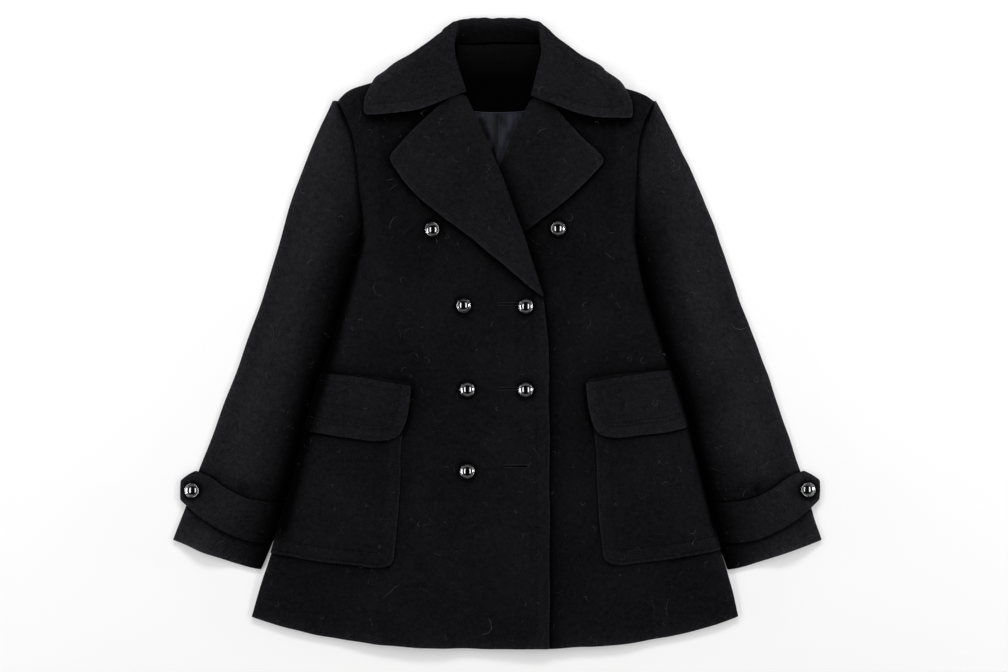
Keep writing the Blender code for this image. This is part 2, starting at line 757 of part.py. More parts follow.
def main():
    clear_scene()
    wool = make_material("wool", WOOL, 0.92)
    black = make_material("neck_facing", FACING_BLACK, 0.9)
    satin = make_material("lining", SATIN, 0.4)
    gunmetal = make_material("button", BUTTON_GREY, 0.15, 0.6)
    make_back(wool)
    make_fronts(wool)
    make_lapels(wool)
    make_sleeves(wool)
    make_cuff_straps(wool)
    make_pockets(wool)
    make_neck(black, satin)
    make_collar(wool)
    make_buttons(gunmetal)
    centre_on_origin()


main()
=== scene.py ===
"""A double-breasted wool overcoat laid flat: cloth, stitching, buttons and a plain studio around them.

Every panel starts as a merged copy of its own solid. The copy gets rolled edges and a finer
surface, then all panels settle together, so that layers which lie on each other stay in order.
Sizes are in metres unless a name says otherwise. The neck lies towards +y, and x runs from the
wearer's right sleeve to the left.
"""

import math
import random

import bmesh
import bpy
import numpy as np
from bpy.props import FloatProperty, FloatVectorProperty, IntProperty, PointerProperty
from mathutils import Matrix, Vector
from mathutils.bvhtree import BVHTree
from mathutils.kdtree import KDTree


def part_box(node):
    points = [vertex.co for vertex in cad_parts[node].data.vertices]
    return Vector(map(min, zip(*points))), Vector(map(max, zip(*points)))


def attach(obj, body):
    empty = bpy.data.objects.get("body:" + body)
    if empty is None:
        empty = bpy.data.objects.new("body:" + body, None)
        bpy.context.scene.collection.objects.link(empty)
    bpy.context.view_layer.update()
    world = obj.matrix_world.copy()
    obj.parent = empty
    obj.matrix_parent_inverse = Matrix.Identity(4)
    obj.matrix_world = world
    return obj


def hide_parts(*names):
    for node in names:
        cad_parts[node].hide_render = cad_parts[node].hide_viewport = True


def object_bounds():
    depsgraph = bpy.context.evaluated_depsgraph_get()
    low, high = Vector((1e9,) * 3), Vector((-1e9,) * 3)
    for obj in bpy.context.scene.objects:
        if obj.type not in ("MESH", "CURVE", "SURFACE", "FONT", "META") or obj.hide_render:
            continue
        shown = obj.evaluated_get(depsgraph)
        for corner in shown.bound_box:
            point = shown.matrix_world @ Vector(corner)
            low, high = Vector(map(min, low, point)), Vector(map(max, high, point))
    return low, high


bl_info = {
    "name": "Double-Breasted Overcoat",
    "version": (1, 0, 0),
    "blender": (4, 5, 0),
    "location": "View3D > Sidebar > Overcoat",
    "description": "Lays out a wool overcoat on its packed frame, panel by panel",
    "category": "Object",
}

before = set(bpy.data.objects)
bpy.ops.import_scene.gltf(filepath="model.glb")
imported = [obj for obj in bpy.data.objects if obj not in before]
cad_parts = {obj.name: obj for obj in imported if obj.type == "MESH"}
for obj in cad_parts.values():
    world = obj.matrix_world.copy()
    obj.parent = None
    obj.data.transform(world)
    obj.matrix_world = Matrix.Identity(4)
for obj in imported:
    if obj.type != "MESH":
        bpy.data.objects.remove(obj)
CAD_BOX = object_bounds()

MM = 0.001
BODY = "root"
BUTTON_NODES = sorted(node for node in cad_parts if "button" in node)
MERGE_GAP = 0.01 * MM
SHARP_EDGE = math.radians(60)
CORNER_TURN = math.radians(32)
WIDE_FACE = 900 * MM * MM
CHOP = 24 * MM
# A normal's z from which a face counts as facing up, and up to which it counts as upright.
FACES_UP = 0.3
UPRIGHT = 0.6
RIM = "rim"
FROM_EDGE = "from_edge"
FROM_TOP = "from_top"
SHADE = "shade"

# How the shade painted into the hollows is worked out: cell of the relief, height of a step that
# throws no shade, distances looked at in millimetres, directions, and how strongly a hollow darkens.
RELIEF_CELL = 2.0 * MM
SHADE_STEP = 2.5 * MM
SHADE_REACH = (5, 8, 12, 17, 24, 34, 48, 66)
SHADE_TURNS = 16
SHADE_POWER = 3.6
SHADE_LEAST = 0.04

# Side edge of the body, from the hem to the shoulder: y, right x, left x. Shade is painted on the
# nap beside it, in the cleft between body and sleeve. On the sleeve: y, half width. On each side
# of the body: y, width that is wholly dark, half width beyond it. Last the y where the cleft
# starts and ends, and over what length it fades there.
BODY_SIDE = (
    (-0.297, -0.2935, 0.2905), (-0.242, -0.2755, 0.2735), (-0.105, -0.2395, 0.2395),
    (0.041, -0.1935, 0.1915), (0.118, -0.1705, 0.1755), (0.195, -0.1755, 0.1765),
    (0.262, -0.1865, 0.1835), (0.295, -0.2025, 0.1995),
)
CLEFT_SLEEVE_DARK = 0.93
CLEFT_SLEEVE = (
    (-0.310, 0.0340), (-0.235, 0.0300), (-0.180, 0.0200), (-0.120, 0.0190), (0.050, 0.0290),
)
CLEFT_BODY_DARK = 0.92
CLEFT_BODY = {
    "right": (
        (-0.200, 0.0055, 0.0100), (-0.020, 0.0040, 0.0085), (0.050, 0.0020, 0.0050),
        (0.120, 0.0005, 0.0030)),
    "left": ((-0.200, 0.0, 0.0035), (0.120, 0.0, 0.0035)),
}
CLEFT_Y = (-0.282, 0.195)
CLEFT_FADES = (0.036, 0.080)

# Beside the armholes the shade painted into the hollows hardly darkens the nap: y where that
# starts and is reached, the least distance from the middle, and how much of the shade goes.
ARMHOLE_OPENS = (0.120, 0.180)
ARMHOLE_OUT = 0.150
ARMHOLE_LIGHT = 0.8

# Light falls from the neck end, and shadow is painted on the nap just below an edge that stands
# proud: headings, distances in millimetres, height of a step that throws none, the slopes from
# which it starts and is full, and its darkness. The straps pinch the sleeve above them into a
# trough, and shade is painted there in the same way, seen along their own headings. For the
# painted shadow collar and lapels count as standing this much higher.
EDGE_TURNS = (60, 90, 120)
STRAP_TURNS = (240, 270, 300)
SHADOW_RAISE = {"coat_collar": 6.0 * MM, "over_lapel": 1.6 * MM, "under_lapel": 1.6 * MM}
EDGE_REACH = (2, 3.5, 5, 7, 9.5, 12.5, 16)
EDGE_STEP = 1.9 * MM
EDGE_SLOPE = (0.30, 0.85)
EDGE_DARK = 0.88

# Free edge of the front on top, from the hem up: y, x. Shadow is painted on the front below,
# beside it: how far that reaches, over what length it fades at its upper end, and its darkness.
FREE_EDGE = ((-0.401, 0.0665), (-0.200, 0.0665), (-0.040, 0.0655), (0.010, 0.0635), (0.047, 0.0585))
FREE_EDGE_REACH = 0.0110
FREE_EDGE_FADES = 0.030
FREE_EDGE_DARK = 0.66

# How far the highlight painted on the nap at the outline of the coat reaches in, and how much it adds.
RIM_HIGHLIGHT_REACH = 5.0 * MM
RIM_HIGHLIGHT = 1.2

# Shadow painted on the cloth around each button: width of the dark ring, and its darkness.
RING_WIDTH = 4.6 * MM
RING_DARK = 0.90

# Shade painted on the lining in its folds and beside the lapel's edge: two ends, half width, darkness.
LINING_SHADES = (
    ((-0.0225, 0.2705), (-0.0150, 0.2480), 0.0046, 0.96),
    ((-0.0085, 0.2330), (-0.0010, 0.2120), 0.0034, 0.92),
    ((-0.0012, 0.2830), (-0.0026, 0.2150), 0.0032, 0.97),
    ((0.0045, 0.2760), (0.0100, 0.2640), 0.0030, 0.60),
    ((0.0150, 0.2560), (0.0060, 0.2300), 0.0024, 0.40),
)

# The lining's pleat and the folds beside it: x where y is PLEAT_Y, slant, half width, rise.
# Only points above LINING_TOP rise with them.
PLEAT_Y = 0.26
LINING_PLEATS = (
    (-0.0045, 0.0, 0.0035, 0.0016), (0.0, 0.0, 0.0016, -0.0010), (-0.0100, -0.28, 0.0035, 0.0013),
    (-0.0165, -0.30, 0.0022, -0.0012), (0.0120, 0.15, 0.0050, 0.0009),
)
LINING_TOP = 0.0042

# Shade painted on the facing, deeper away from the neck: y where that starts and ends, and how much
# light goes.
FACING_DARKENS = (0.362, 0.326)
FACING_DARK = 0.76

# Painted shade on the inner side of the stand at the back of the neck, which faces down into the
# neck: its middle, half width, the width over which its sides fade, the y between which the
# shade deepens, its shade, and the y at its foot between which that starts.
NECK_MIDDLE = 0.0015
STAND_HALF = 0.0535
STAND_FADES = 0.004
STAND_DARKENS = (0.4060, 0.3850)
STAND_SHADE = 0.30
STAND_FOOT = (0.350, 0.360)

# Where collar and lapel are sewn together hardly any of the painted shadow falls between them:
# distances from the middle where that ends, y where it starts, and how much of the shadow goes.
GORGE_ENDS = (0.058, 0.070)
GORGE_STARTS = (0.262, 0.274)
GORGE_LIGHT = 0.75

# Distance of each sewn row from the edge of its piece, in millimetres.
FRONT_ROW = 15.5
COLLAR_ROW = 13.0
LAPEL_ROW = 8.0
POCKET_ROWS = (3.5, 18.0)
FLAP_ROWS = (13.5, 18.5)
FLAP_TOP_ROW = 9.0

# How far the cloth outside a row is raised, on the front and on pockets and flaps, and how far
# in from its outermost point the free edge of the front can be.
FRONT_RISE = 0.5 * MM
POCKET_RISE = 0.6 * MM
FREE_EDGE_WITHIN = 16 * MM

# The collar's cut edges and its sewn row lie at least this far out and this high.
COLLAR_EDGE_FROM = (0.072, 0.004)
COLLAR_ROW_FROM = (0.050, 0.008)

# Where the lapels fold over, as a point at the neck and the point where the fold ends.
UPPER_ROLL = ((-0.045, 0.296), (0.057, 0.048))
LOWER_ROLL = ((0.047, 0.296), (-0.062, 0.048))
ROLL_MARGIN = 0.007
NOTCH_Y = 0.289

# Edges of the pockets and flaps that have no free turned edge: the side, which runs with the
# side of the body, and the sewn top of the flap.
POCKET_SIDE = {
    "right": ((-0.2234, -0.050), (-0.2885, -0.278)), "left": ((0.2213, -0.046), (0.2846, -0.274)),
}
FLAP_TOP = {
    "right": ((-0.1085, -0.066), (-0.2234, -0.051)), "left": ((0.1115, -0.062), (0.2213, -0.047)),
}
NEAR_SIDE = 3.6 * MM
NEAR_TOP = 4.2 * MM

# Places where the outline of a solid is eased: centre and reach.
SOFTENED = {"collar": (((-0.1450, 0.3350), 0.011), ((0.1480, 0.3300), 0.011))}

# The small gathers at the fold of the collar: their depth, the y between which they grow, the
# distances from the middle between which they end, and the lengths of their two waves.
PUCKER = 0.45 * MM
PUCKER_GROWS = (0.374, 0.394)
PUCKER_ENDS = (0.058, 0.048)
PUCKER_WAVES = (0.0165, 0.027)

# How far the seam between lining and facing sags, half its length, and how far from it the
# cloth sags with it. Its piping: ends, thickness, and how far below the facing and above the
# cloth it runs.
SEAM_SAG = 0.0032
SEAM_HALF = 0.047
SEAM_PULLS = 0.040
PIPING_X = (-0.040, 0.044)
PIPING_THICK = 1.1 * MM
PIPING_BELOW = 0.2 * MM
PIPING_ABOVE = 0.4 * MM

# A stitch leans up to this much to one side, and its ends dive this deep.
STITCH_LEANS = 0.12 * MM
STITCH_DIVES = 0.25 * MM

# The buttonholes' silk, their slits where they gape in full, and the bar across their inner
# ends: how far beyond the end its threads lie, and half their length.
SILK_THICK = 0.45 * MM
SLIT_WIDTH = 2.4 * MM
BAR_BEYOND = (0.2 * MM, 0.6 * MM)
BAR_HALF = 2.1 * MM

# The close purl stitches of a buttonhole: distance between them, and for points from the slit
# outwards the distance from it and the height above the cloth.
PURL_PITCH = 0.55 * MM
PURL_ARCH = ((0.0013, -0.0001), (0.0015, 0.0004), (0.0019, 0.00035), (0.0023, -0.0002))

# Loose fibres: points along one, least z of the normals under it, and the greatest step down
# between two points, so that none bridges an edge.
FIBRE_POINTS = 12
FIBRE_LEVEL = 0.7
FIBRE_STEP = 1.2 * MM

# Buttonholes: start and end across the front, y, and share of the full gape.
BUTTONHOLES = (
    (0.001, 0.026, 0.037, 0.35), (0.001, 0.026, -0.0705, 0.35), (0.009, 0.0385, -0.1690, 1.0),
)

# Soft troughs (negative) and ridges (positive): two ends, half width, and rise as a share of
# the height of the cloth above the table.
FOLDS = (
    ((-0.205, 0.205), (-0.120, 0.150), 0.020, 0.10),
    ((-0.215, 0.170), (-0.150, 0.105), 0.018, -0.08),
    ((0.200, 0.200), (0.125, 0.140), 0.020, 0.10),
    ((0.212, 0.165), (0.150, 0.090), 0.018, -0.08),
    ((-0.190, 0.060), (-0.205, -0.040), 0.022, 0.09),
    ((-0.145, 0.040), (-0.150, -0.045), 0.020, -0.07),
    ((0.180, 0.050), (0.200, -0.040), 0.024, 0.08),
    ((0.130, 0.080), (0.140, -0.035), 0.020, -0.07),
    ((-0.075, 0.020), (-0.085, -0.160), 0.020, -0.06),
    ((-0.085, -0.170), (-0.120, -0.390), 0.028, 0.10),
    ((-0.030, -0.230), (-0.040, -0.395), 0.024, -0.10),
    ((0.020, -0.200), (0.025, -0.390), 0.022, 0.08),
    ((0.095, -0.180), (0.100, -0.395), 0.026, -0.09),
    ((0.150, -0.310), (0.165, -0.395), 0.024, 0.11),
    ((0.225, -0.300), (0.245, -0.385), 0.026, -0.10),
    ((-0.180, -0.310), (-0.200, -0.390), 0.024, -0.11),
    ((-0.240, -0.300), (-0.262, -0.380), 0.022, 0.10),
    ((-0.262, 0.130), (-0.300, 0.060), 0.016, 0.08),
    ((-0.252, 0.080), (-0.300, 0.030), 0.014, -0.10),
    ((-0.262, 0.020), (-0.330, -0.010), 0.016, 0.09),
    ((-0.290, -0.080), (-0.350, -0.100), 0.016, -0.08),
    ((0.268, 0.120), (0.305, 0.050), 0.016, 0.08),
    ((0.260, 0.065), (0.308, 0.020), 0.014, -0.10),
    ((0.272, 0.000), (0.335, -0.030), 0.016, 0.09),
    ((0.300, -0.090), (0.350, -0.115), 0.016, -0.08),
    ((-0.352, -0.178), (-0.322, -0.196), 0.007, -0.20),
    ((-0.322, -0.196), (-0.284, -0.206), 0.007, -0.20),
    ((0.359, -0.178), (0.329, -0.196), 0.007, -0.20),
    ((0.329, -0.196), (0.290, -0.206), 0.007, -0.20),
    ((0.310, -0.160), (0.300, -0.195), 0.010, 0.07),
    ((-0.322, -0.155), (-0.305, -0.192), 0.010, 0.07),
)

# Slow unevenness of laid cloth: waves per metre across and along, phase, and share of height.
DRIFT = (
    (5.3, 3.1, 0.4, 0.030), (-3.7, 6.9, 2.1, 0.026), (9.1, -4.3, 1.1, 0.016),
    (12.7, 8.3, 3.0, 0.010), (-14.9, 11.3, 5.2, 0.008),
)
# The same for the outlines: waves per metre across and along, phase, sideways sway.
SWAY = ((7.1, 9.7, 0.9, 0.00035), (-13.3, 10.1, 2.7, 0.00025), (21.7, -17.9, 4.4, 0.00018))

# Half width and height of the table and of the dark ceiling.
TABLE = (6, -0.3 * MM)
CEILING = (9, 4.6)

# Even light of the room, how much more of it polished metal mirrors, where the camera hangs,
# and the height of the cloth it measures.
ROOM_LIGHT = 0.20
ROOM_MIRRORED = 0.04
CAMERA_XY = (0.0086, -0.0036)
CLOTH_HEIGHT = 0.012

# The table glows a little, but not under the coat: half width and half length of that place,
# width of its edge, and strength of the glow.
UNDER_COAT = (0.163, 0.300)
UNDER_COAT_EDGE = 0.006
TABLE_GLOW = 0.20

# Lamps: name, place, size across and along, watts, and whether polished metal mirrors them.
LAMPS = (
    ("top_lamp", (0.0, 2.0, 1.9), 1.8, 0.6, 34, False),
    ("left_lamp", (-1.30, 0.0, 1.62), 2.4, 0.55, 14, True),
    ("right_lamp", (1.30, 0.0, 1.62), 2.4, 0.55, 14, True),
    ("left_low_lamp", (-2.1, -0.3, 0.27), 1.6, 0.20, 14, True),
    ("right_low_lamp", (2.1, 0.0, 0.27), 0.7, 0.20, 12, True),
)


# ----------------------------------------------------------------------------- settings


def colour_setting(name, description, default):
    return FloatVectorProperty(
        name=name, description=description, default=default, subtype="COLOR", size=3, min=0, max=1)


def length_setting(name, description, default):
    return FloatProperty(name=name, description=description, default=default, unit="LENGTH")


class CoatCloth(bpy.types.PropertyGroup):
    """Colours and small sizes of the cloth."""

    wool: colour_setting("Wool", "Ground of the wool cloth", (0.0020, 0.0020, 0.0024))
    nap: colour_setting("Nap", "Raised fibre ends that catch the light", (0.0134, 0.0134, 0.0152))
    facing: colour_setting("Facing", "Cloth inside the neck", (0.0024, 0.0024, 0.0025))
    satin: colour_setting("Lining", "Satin inside the body", (0.0178, 0.0183, 0.0258))
    rolled_edge: FloatProperty(
        name="Rolled edge", description="How far the turned edges of the wool are rounded",
        default=0.0010, min=0.0002, max=0.002, unit="LENGTH")
    fold_depth: FloatProperty(
        name="Fold depth", description="Strength of the soft folds of the laid cloth",
        default=1.0, min=0.0, max=2.0, subtype="FACTOR")


class CoatThread(bpy.types.PropertyGroup):
    """The sewing that shows on the cloth."""

    length: length_setting("Stitch", "Length of one stitch", 0.0032)
    pitch: length_setting("Pitch", "Distance from one stitch to the next", 0.0043)
    thickness: length_setting("Thread", "Thickness of the thread", 0.00042)
    colour: colour_setting("Thread colour", "Colour of the sewing thread", (0.014, 0.014, 0.016))


class CoatButtons(bpy.types.PropertyGroup):
    """The turned buttons."""

    metal: colour_setting("Gunmetal", "Colour of the dark metal", (0.30, 0.30, 0.305))
    gloss: FloatProperty(
        name="Roughness", description="Roughness of the polished dome",
        default=0.07, min=0, max=1, subtype="FACTOR")
    steps: IntProperty(
        name="Steps", description="Steps of the turning", default=40, min=12, max=96)


class CoatLint(bpy.types.PropertyGroup):
    """Loose pale fibres caught on the wool."""

    count: IntProperty(
        name="Fibres", description="How many loose fibres lie on the cloth", default=640)
    thickness: length_setting("Thickness", "Thickness of a fibre", 0.00013)
    colour: colour_setting("Fibre colour", "Colour of the loose fibres", (0.22, 0.215, 0.205))


class CoatStudio(bpy.types.PropertyGroup):
    """Floor, lamps and camera."""

    floor: colour_setting("Floor", "Colour of the table under the coat", (0.82, 0.82, 0.82))
    camera_height: length_setting("Camera height", "Height of the camera above the table", 4.0)
    view_width: length_setting("View width", "Width of the table that the camera sees", 1.280)


# ----------------------------------------------------------------------------- cloth shape


def settings(context):
    return context.scene.coat


def lerp(a, b, share):
    return a + (b - a) * share


def ramp(values, start, end):
    """0 up to the start and 1 from the end on, with an even rise between them."""
    return np.clip((values - start) / (end - start), 0, 1)


def bell(values, half_width):
    """1 at zero, falling away softly to both sides."""
    return np.exp(-(values / half_width) ** 2)


def line_x(line, y):
    """The x of a straight line between two points at a given y."""
    (x0, y0), (x1, y1) = line
    return lerp(x0, x1, (y - y0) / (y1 - y0))


def distance_to(points, start, end):
    """How far many points are from one straight line between two ends."""
    a, b = np.array(start), np.array(end)
    along = b - a
    share = np.clip(((points - a) @ along) / (along @ along), 0, 1)
    return np.linalg.norm(points - a - share[:, None] * along, axis=1)


def off(point, line):
    """How far one point of the cloth is from a line, seen from above."""
    return distance_to(np.array((point[:2],)), *line)[0]


def settle(points, depth=1.0):
    """Move points with the laid cloth: heights swell and sink with the folds, outlines sway.

    The height change is a share of the height, so layers keep their order and the underside
    stays on the table.
    """
    flat = points[:, :2]
    share = np.zeros(len(points))
    for start, end, width, rise in FOLDS:
        share += rise * bell(distance_to(flat, start, end), width)
    for across, along, phase, rise in DRIFT:
        share += rise * np.sin(2 * math.pi * (flat[:, 0] * across + flat[:, 1] * along) + phase)
    moved = points.copy()
    moved[:, 2] *= 1 + depth * share
    for across, along, phase, sway in SWAY:
        wave = 2 * math.pi * (flat[:, 0] * across + flat[:, 1] * along) + phase
        moved[:, 0] += sway * np.sin(wave)
        moved[:, 1] += sway * np.cos(wave)
    return moved


def points_of(mesh):
    flat = np.empty(len(mesh.vertices) * 3)
    mesh.vertices.foreach_get("co", flat)
    return flat.reshape(-1, 3)


def set_points(mesh, points):
    mesh.vertices.foreach_set("co", points.ravel())
    mesh.update()


def values_of(mesh, name):
    values = np.empty(len(mesh.vertices))
    mesh.attributes[name].data.foreach_get("value", values)
    return values


def write_values(mesh, name, values):
    mesh.attributes.new(name, "FLOAT", "POINT").data.foreach_set("value", values)


def rises_of(mesh):
    """How far the surface at each point faces up."""
    return np.array([v.normal.z for v in mesh.vertices])


def link(name, data):
    made = bpy.data.objects.new(name, data)
    bpy.context.scene.collection.objects.link(made)
    return made


def rough_copy(node, rim, corner):
    """A merged copy of a solid with quads where it can have them and rolled sharp edges.

    The corners of its outline are rounded to the corner radius first.
    """
    bm = bmesh.new()
    bm.from_mesh(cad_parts[node].data)
    bmesh.ops.remove_doubles(bm, verts=bm.verts, dist=MERGE_GAP)
    bmesh.ops.join_triangles(
        bm, faces=bm.faces, angle_face_threshold=math.radians(35),
        angle_shape_threshold=math.radians(55))
    soften(bm, node)
    chop_wide_faces(bm)
    marks = bm.verts.layers.float.new(RIM)
    corners = [e for e in bm.edges if e.is_manifold and is_corner(e) and room_at(e) > corner * 1.3]
    if corner and corners:
        bmesh.ops.bevel(
            bm, geom=corners, offset=corner, offset_type="OFFSET", segments=3, profile=0.5,
            affect="EDGES", material=-1, clamp_overlap=True)
    sharp = [e for e in bm.edges if e.is_manifold and e.calc_face_angle() > SHARP_EDGE]
    if rim and sharp:
        made = bmesh.ops.bevel(
            bm, geom=sharp, offset=rim, offset_type="OFFSET", segments=2, profile=0.5,
            affect="EDGES", material=-1, clamp_overlap=True)
        for vert in made["verts"]:
            vert[marks] = 1.0
    mesh = bpy.data.meshes.new(node)
    bm.to_mesh(mesh)
    bm.free()
    return mesh


def is_corner(edge):
    """A short upright edge in the wall of the cloth, where its outline turns a corner."""
    run = edge.verts[1].co - edge.verts[0].co
    return abs(run.z) > 0.5 * run.length and edge.calc_face_angle() > CORNER_TURN


def room_at(edge):
    """Length of the shortest side that leads away from a corner edge."""
    beside = (e for v in edge.verts for e in v.link_edges if e is not edge)
    return min(e.calc_length() for e in beside)


def soften(bm, node):
    """Ease the kinks of an outline at the places listed for this solid."""
    for place, reach in SOFTENED.get(node, ()):
        for _ in range(3):
            near = [v for v in bm.verts if math.dist(v.co.xy, place) < reach]
            bmesh.ops.smooth_vert(
                bm, verts=near, factor=0.5, use_axis_x=True, use_axis_y=True, use_axis_z=False)


def chop_wide_faces(bm):
    """Cut only the very wide flat faces along a square grid, so that they bend evenly."""
    for axis in (0, 1):
        wide = [f for f in bm.faces if f.calc_area() > WIDE_FACE]
        if not wide:
            return
        reached = [v.co[axis] for f in wide for v in f.verts]
        place = math.ceil(min(reached) / CHOP) * CHOP
        while place < max(reached):
            wide = [f for f in bm.faces if f.calc_area() > WIDE_FACE / 4 and any(
                v.co[axis] > place for v in f.verts) and any(v.co[axis] < place for v in f.verts)
                and abs(f.normal.z) > 0.99]
            geom = set(wide)
            for face in wide:
                geom.update(face.edges)
                geom.update(face.verts)
            normal = Vector((0, 0, 0))
            normal[axis] = 1
            bmesh.ops.bisect_plane(
                bm, geom=list(geom), dist=MERGE_GAP, plane_co=normal * place, plane_no=normal)
            place += CHOP


def refine(mesh, name, levels):
    """Subdivide a rough copy smoothly and return the finished object."""
    made = link(name, mesh)
    finer = made.modifiers.new("finer", "SUBSURF")
    finer.levels = finer.render_levels = levels
    evaluated = made.evaluated_get(bpy.context.evaluated_depsgraph_get())
    fine = bpy.data.meshes.new_from_object(evaluated)
    made.modifiers.clear()
    made.data = fine
    fine.name = name
    fine.shade_smooth()
    bpy.data.meshes.remove(mesh)
    return made


def lay_cloth(
        node, name, material, levels=3, rim=None, corner=0.0018, shape=None):
    """One panel of cloth in place of its solid, reshaped by a function if there is one."""
    coat = settings(bpy.context)
    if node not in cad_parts:
        raise RuntimeError("the frame has no solid " + node)
    rim = coat.cloth.rolled_edge if rim is None else rim
    piece = refine(rough_copy(node, rim, corner), name, levels)
    points = points_of(piece.data)
    if shape:
        points = shape(points)
    set_points(piece.data, settle(points, coat.cloth.fold_depth))
    piece.data.materials.clear()
    piece.data.materials.append(material)
    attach(piece, BODY)
    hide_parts(node)
    return piece


def mark_distance(piece, name, wanted):
    """Write on the cloth how many millimetres each point is from the wanted cut edges."""
    mesh = piece.data
    rim = values_of(mesh, RIM)
    points = points_of(mesh)
    upright = np.abs(rises_of(mesh)) < UPRIGHT
    chosen = [i for i in np.nonzero((rim > 0.97) & upright)[0] if wanted(points[i])]
    if not chosen:
        raise RuntimeError(f"{piece.name} has no edge to sew")
    tree = KDTree(len(chosen))
    for i in chosen:
        tree.insert(points[i], i)
    tree.balance()
    write_values(mesh, name, np.array([tree.find(p)[2] for p in points]) / MM)


def raise_band(piece, name, row, height):
    """Let the cloth between a cut edge and its sewn row stand a little proud."""
    mesh = piece.data
    far = values_of(mesh, name)
    points = points_of(mesh)
    swell = np.sin(np.clip(far / row, 0, 1) * math.pi) * height
    dip = bell(far - row, 1.6) * height * 0.7
    points[:, 2] += np.where(rises_of(mesh) > FACES_UP, swell - dip, 0)
    set_points(mesh, points)


# ----------------------------------------------------------------------------- threads


def rows_at(piece, name, value, keep=None):
    """Lines on the top of a piece where a written distance has one value."""
    mesh = piece.data
    far = values_of(mesh, name) - value
    points = [v.co for v in mesh.vertices]
    normals = [v.normal for v in mesh.vertices]
    crossing, links = {}, {}
    for face in mesh.polygons:
        if face.normal.z < FACES_UP:
            continue
        found = []
        for a, b in face.edge_keys:
            if far[a] * far[b] < 0:
                share = far[a] / (far[a] - far[b])
                crossing[(a, b)] = (
                    points[a].lerp(points[b], share), normals[a].lerp(normals[b], share))
                found.append((a, b))
        if len(found) == 2 and (not keep or keep(crossing[found[0]][0])):
            for one, other in (found, found[::-1]):
                links.setdefault(one, []).append(other)
    lines, seen = [], set()
    for start in sorted(links, key=lambda edge: (len(links[edge]), edge)):
        if start in seen:
            continue
        line, here = [], start
        while here is not None:
            seen.add(here)
            line.append(crossing[here])
            here = next((edge for edge in links[here] if edge not in seen), None)
        if len(line) > 6:
            lines.append(line)
    return lines


def walk(line, step):
    """Points and normals at even steps along a line."""
    walked, left = [], 0.0
    for (a, normal_a), (b, normal_b) in zip(line, line[1:]):
        span = (b - a).length
        while left < span:
            share = left / span
            walked.append((a.lerp(b, share), normal_a.lerp(normal_b, share).normalized()))
            left += step
        left -= span
    return walked


def sewn(line, thread, dice):
    """Stitches along a line: each a short arch that dives into the cloth at its ends."""
    stitches = []
    steps = walk(line, thread.pitch / 6)
    for k in range(0, len(steps) - 6, 6):
        (a, normal), (b, _) = steps[k], steps[k + 4]
        along = b - a
        if along.length < thread.length * 0.4:
            continue
        side = along.cross(normal).normalized() * dice.uniform(-1, 1) * STITCH_LEANS
        high = thread.thickness * 0.45
        stitches.append([
            (lerp(a, b, share) + side * share + normal * lerp(-STITCH_DIVES, high, lift), 1.0)
            for share, lift in ((0.0, 0.0), (0.2, 0.9), (0.5, 1.1), (0.8, 0.9), (1.0, 0.0))])
    return stitches


def threads(name, lines, thickness, material, resolution=0):
    """Many short round threads as one mesh."""
    if not lines:
        raise RuntimeError("nothing to sew for " + name)
    curve = bpy.data.curves.new(name, "CURVE")
    curve.dimensions = "3D"
    curve.bevel_depth = thickness / 2
    curve.bevel_resolution = resolution
    curve.use_fill_caps = True
    for line in lines:
        spline = curve.splines.new("POLY")
        spline.points.add(len(line) - 1)
        for point, (place, radius) in zip(spline.points, line):
            point.co = (*place, 1)
            point.radius = radius
    drawn = link(name + "_line", curve)
    graph = bpy.context.evaluated_depsgraph_get()
    mesh = bpy.data.meshes.new_from_object(drawn.evaluated_get(graph))
    bpy.data.objects.remove(drawn)
    bpy.data.curves.remove(curve)
    mesh.materials.clear()
    mesh.materials.append(material)
    mesh.shade_smooth()
    made = link(name, mesh)
    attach(made, BODY)
    return made


def surface_under(names):
    """A ray target made of the named finished pieces."""
    verts, faces, owner = [], [], []
    for name in names:
        mesh = bpy.data.objects[name].data
        base = len(verts)
        verts.extend(v.co.copy() for v in mesh.vertices)
        for face in mesh.polygons:
            faces.append([base + i for i in face.vertices])
            owner.append(name)
    return BVHTree.FromPolygons(verts, faces), owner


def relief(tree, owner):
    """Heights of the laid coat on an even grid, and the corner where the grid starts."""
    margin = (max(SHADE_REACH) + 10) * MM
    low, high = CAD_BOX
    corner = np.array((low[0] - margin, low[1] - margin))
    across, along = (math.ceil((high[i] - low[i] + 2 * margin) / RELIEF_CELL) for i in (0, 1))
    heights = np.zeros((across, along))
    for i in range(across):
        for j in range(along):
            x, y = corner + (np.array((i, j)) + 0.5) * RELIEF_CELL
            place, _, face = drop(tree, x, y)
            # Collar and lapels count as higher than they are, so that the shadow painted below them
            # reaches further.
            heights[i, j] = place.z + SHADOW_RAISE.get(owner[face], 0.0) if place else 0.0
    return corner, heights


def open_sky(points, corner, heights):
    """Share of the sky that each point sees over the relief around it."""
    blocked = np.zeros(len(points))
    for turn in range(SHADE_TURNS):
        angle = 2 * math.pi * turn / SHADE_TURNS
        heading = np.array((math.cos(angle), math.sin(angle)))
        highest = np.zeros(len(points))
        for reach in SHADE_REACH:
            cells = ((points[:, :2] + reach * MM * heading - corner) / RELIEF_CELL).astype(int)
            rise = heights[cells[:, 0], cells[:, 1]] - points[:, 2] - SHADE_STEP
            highest = np.maximum(highest, rise / np.hypot(rise, reach * MM))
        blocked += highest / SHADE_TURNS
    return 1 - blocked


def heights_at(places, corner, heights):
    """Heights of the relief at many places, evened out between its cells."""
    spot = (places - corner) / RELIEF_CELL - 0.5
    cell = np.floor(spot).astype(int)
    part = spot - cell
    total = np.zeros(len(places))
    for i in (0, 1):
        for j in (0, 1):
            weight = np.abs(1 - i - part[:, 0]) * np.abs(1 - j - part[:, 1])
            total += weight * heights[cell[:, 0] + i, cell[:, 1] + j]
    return total


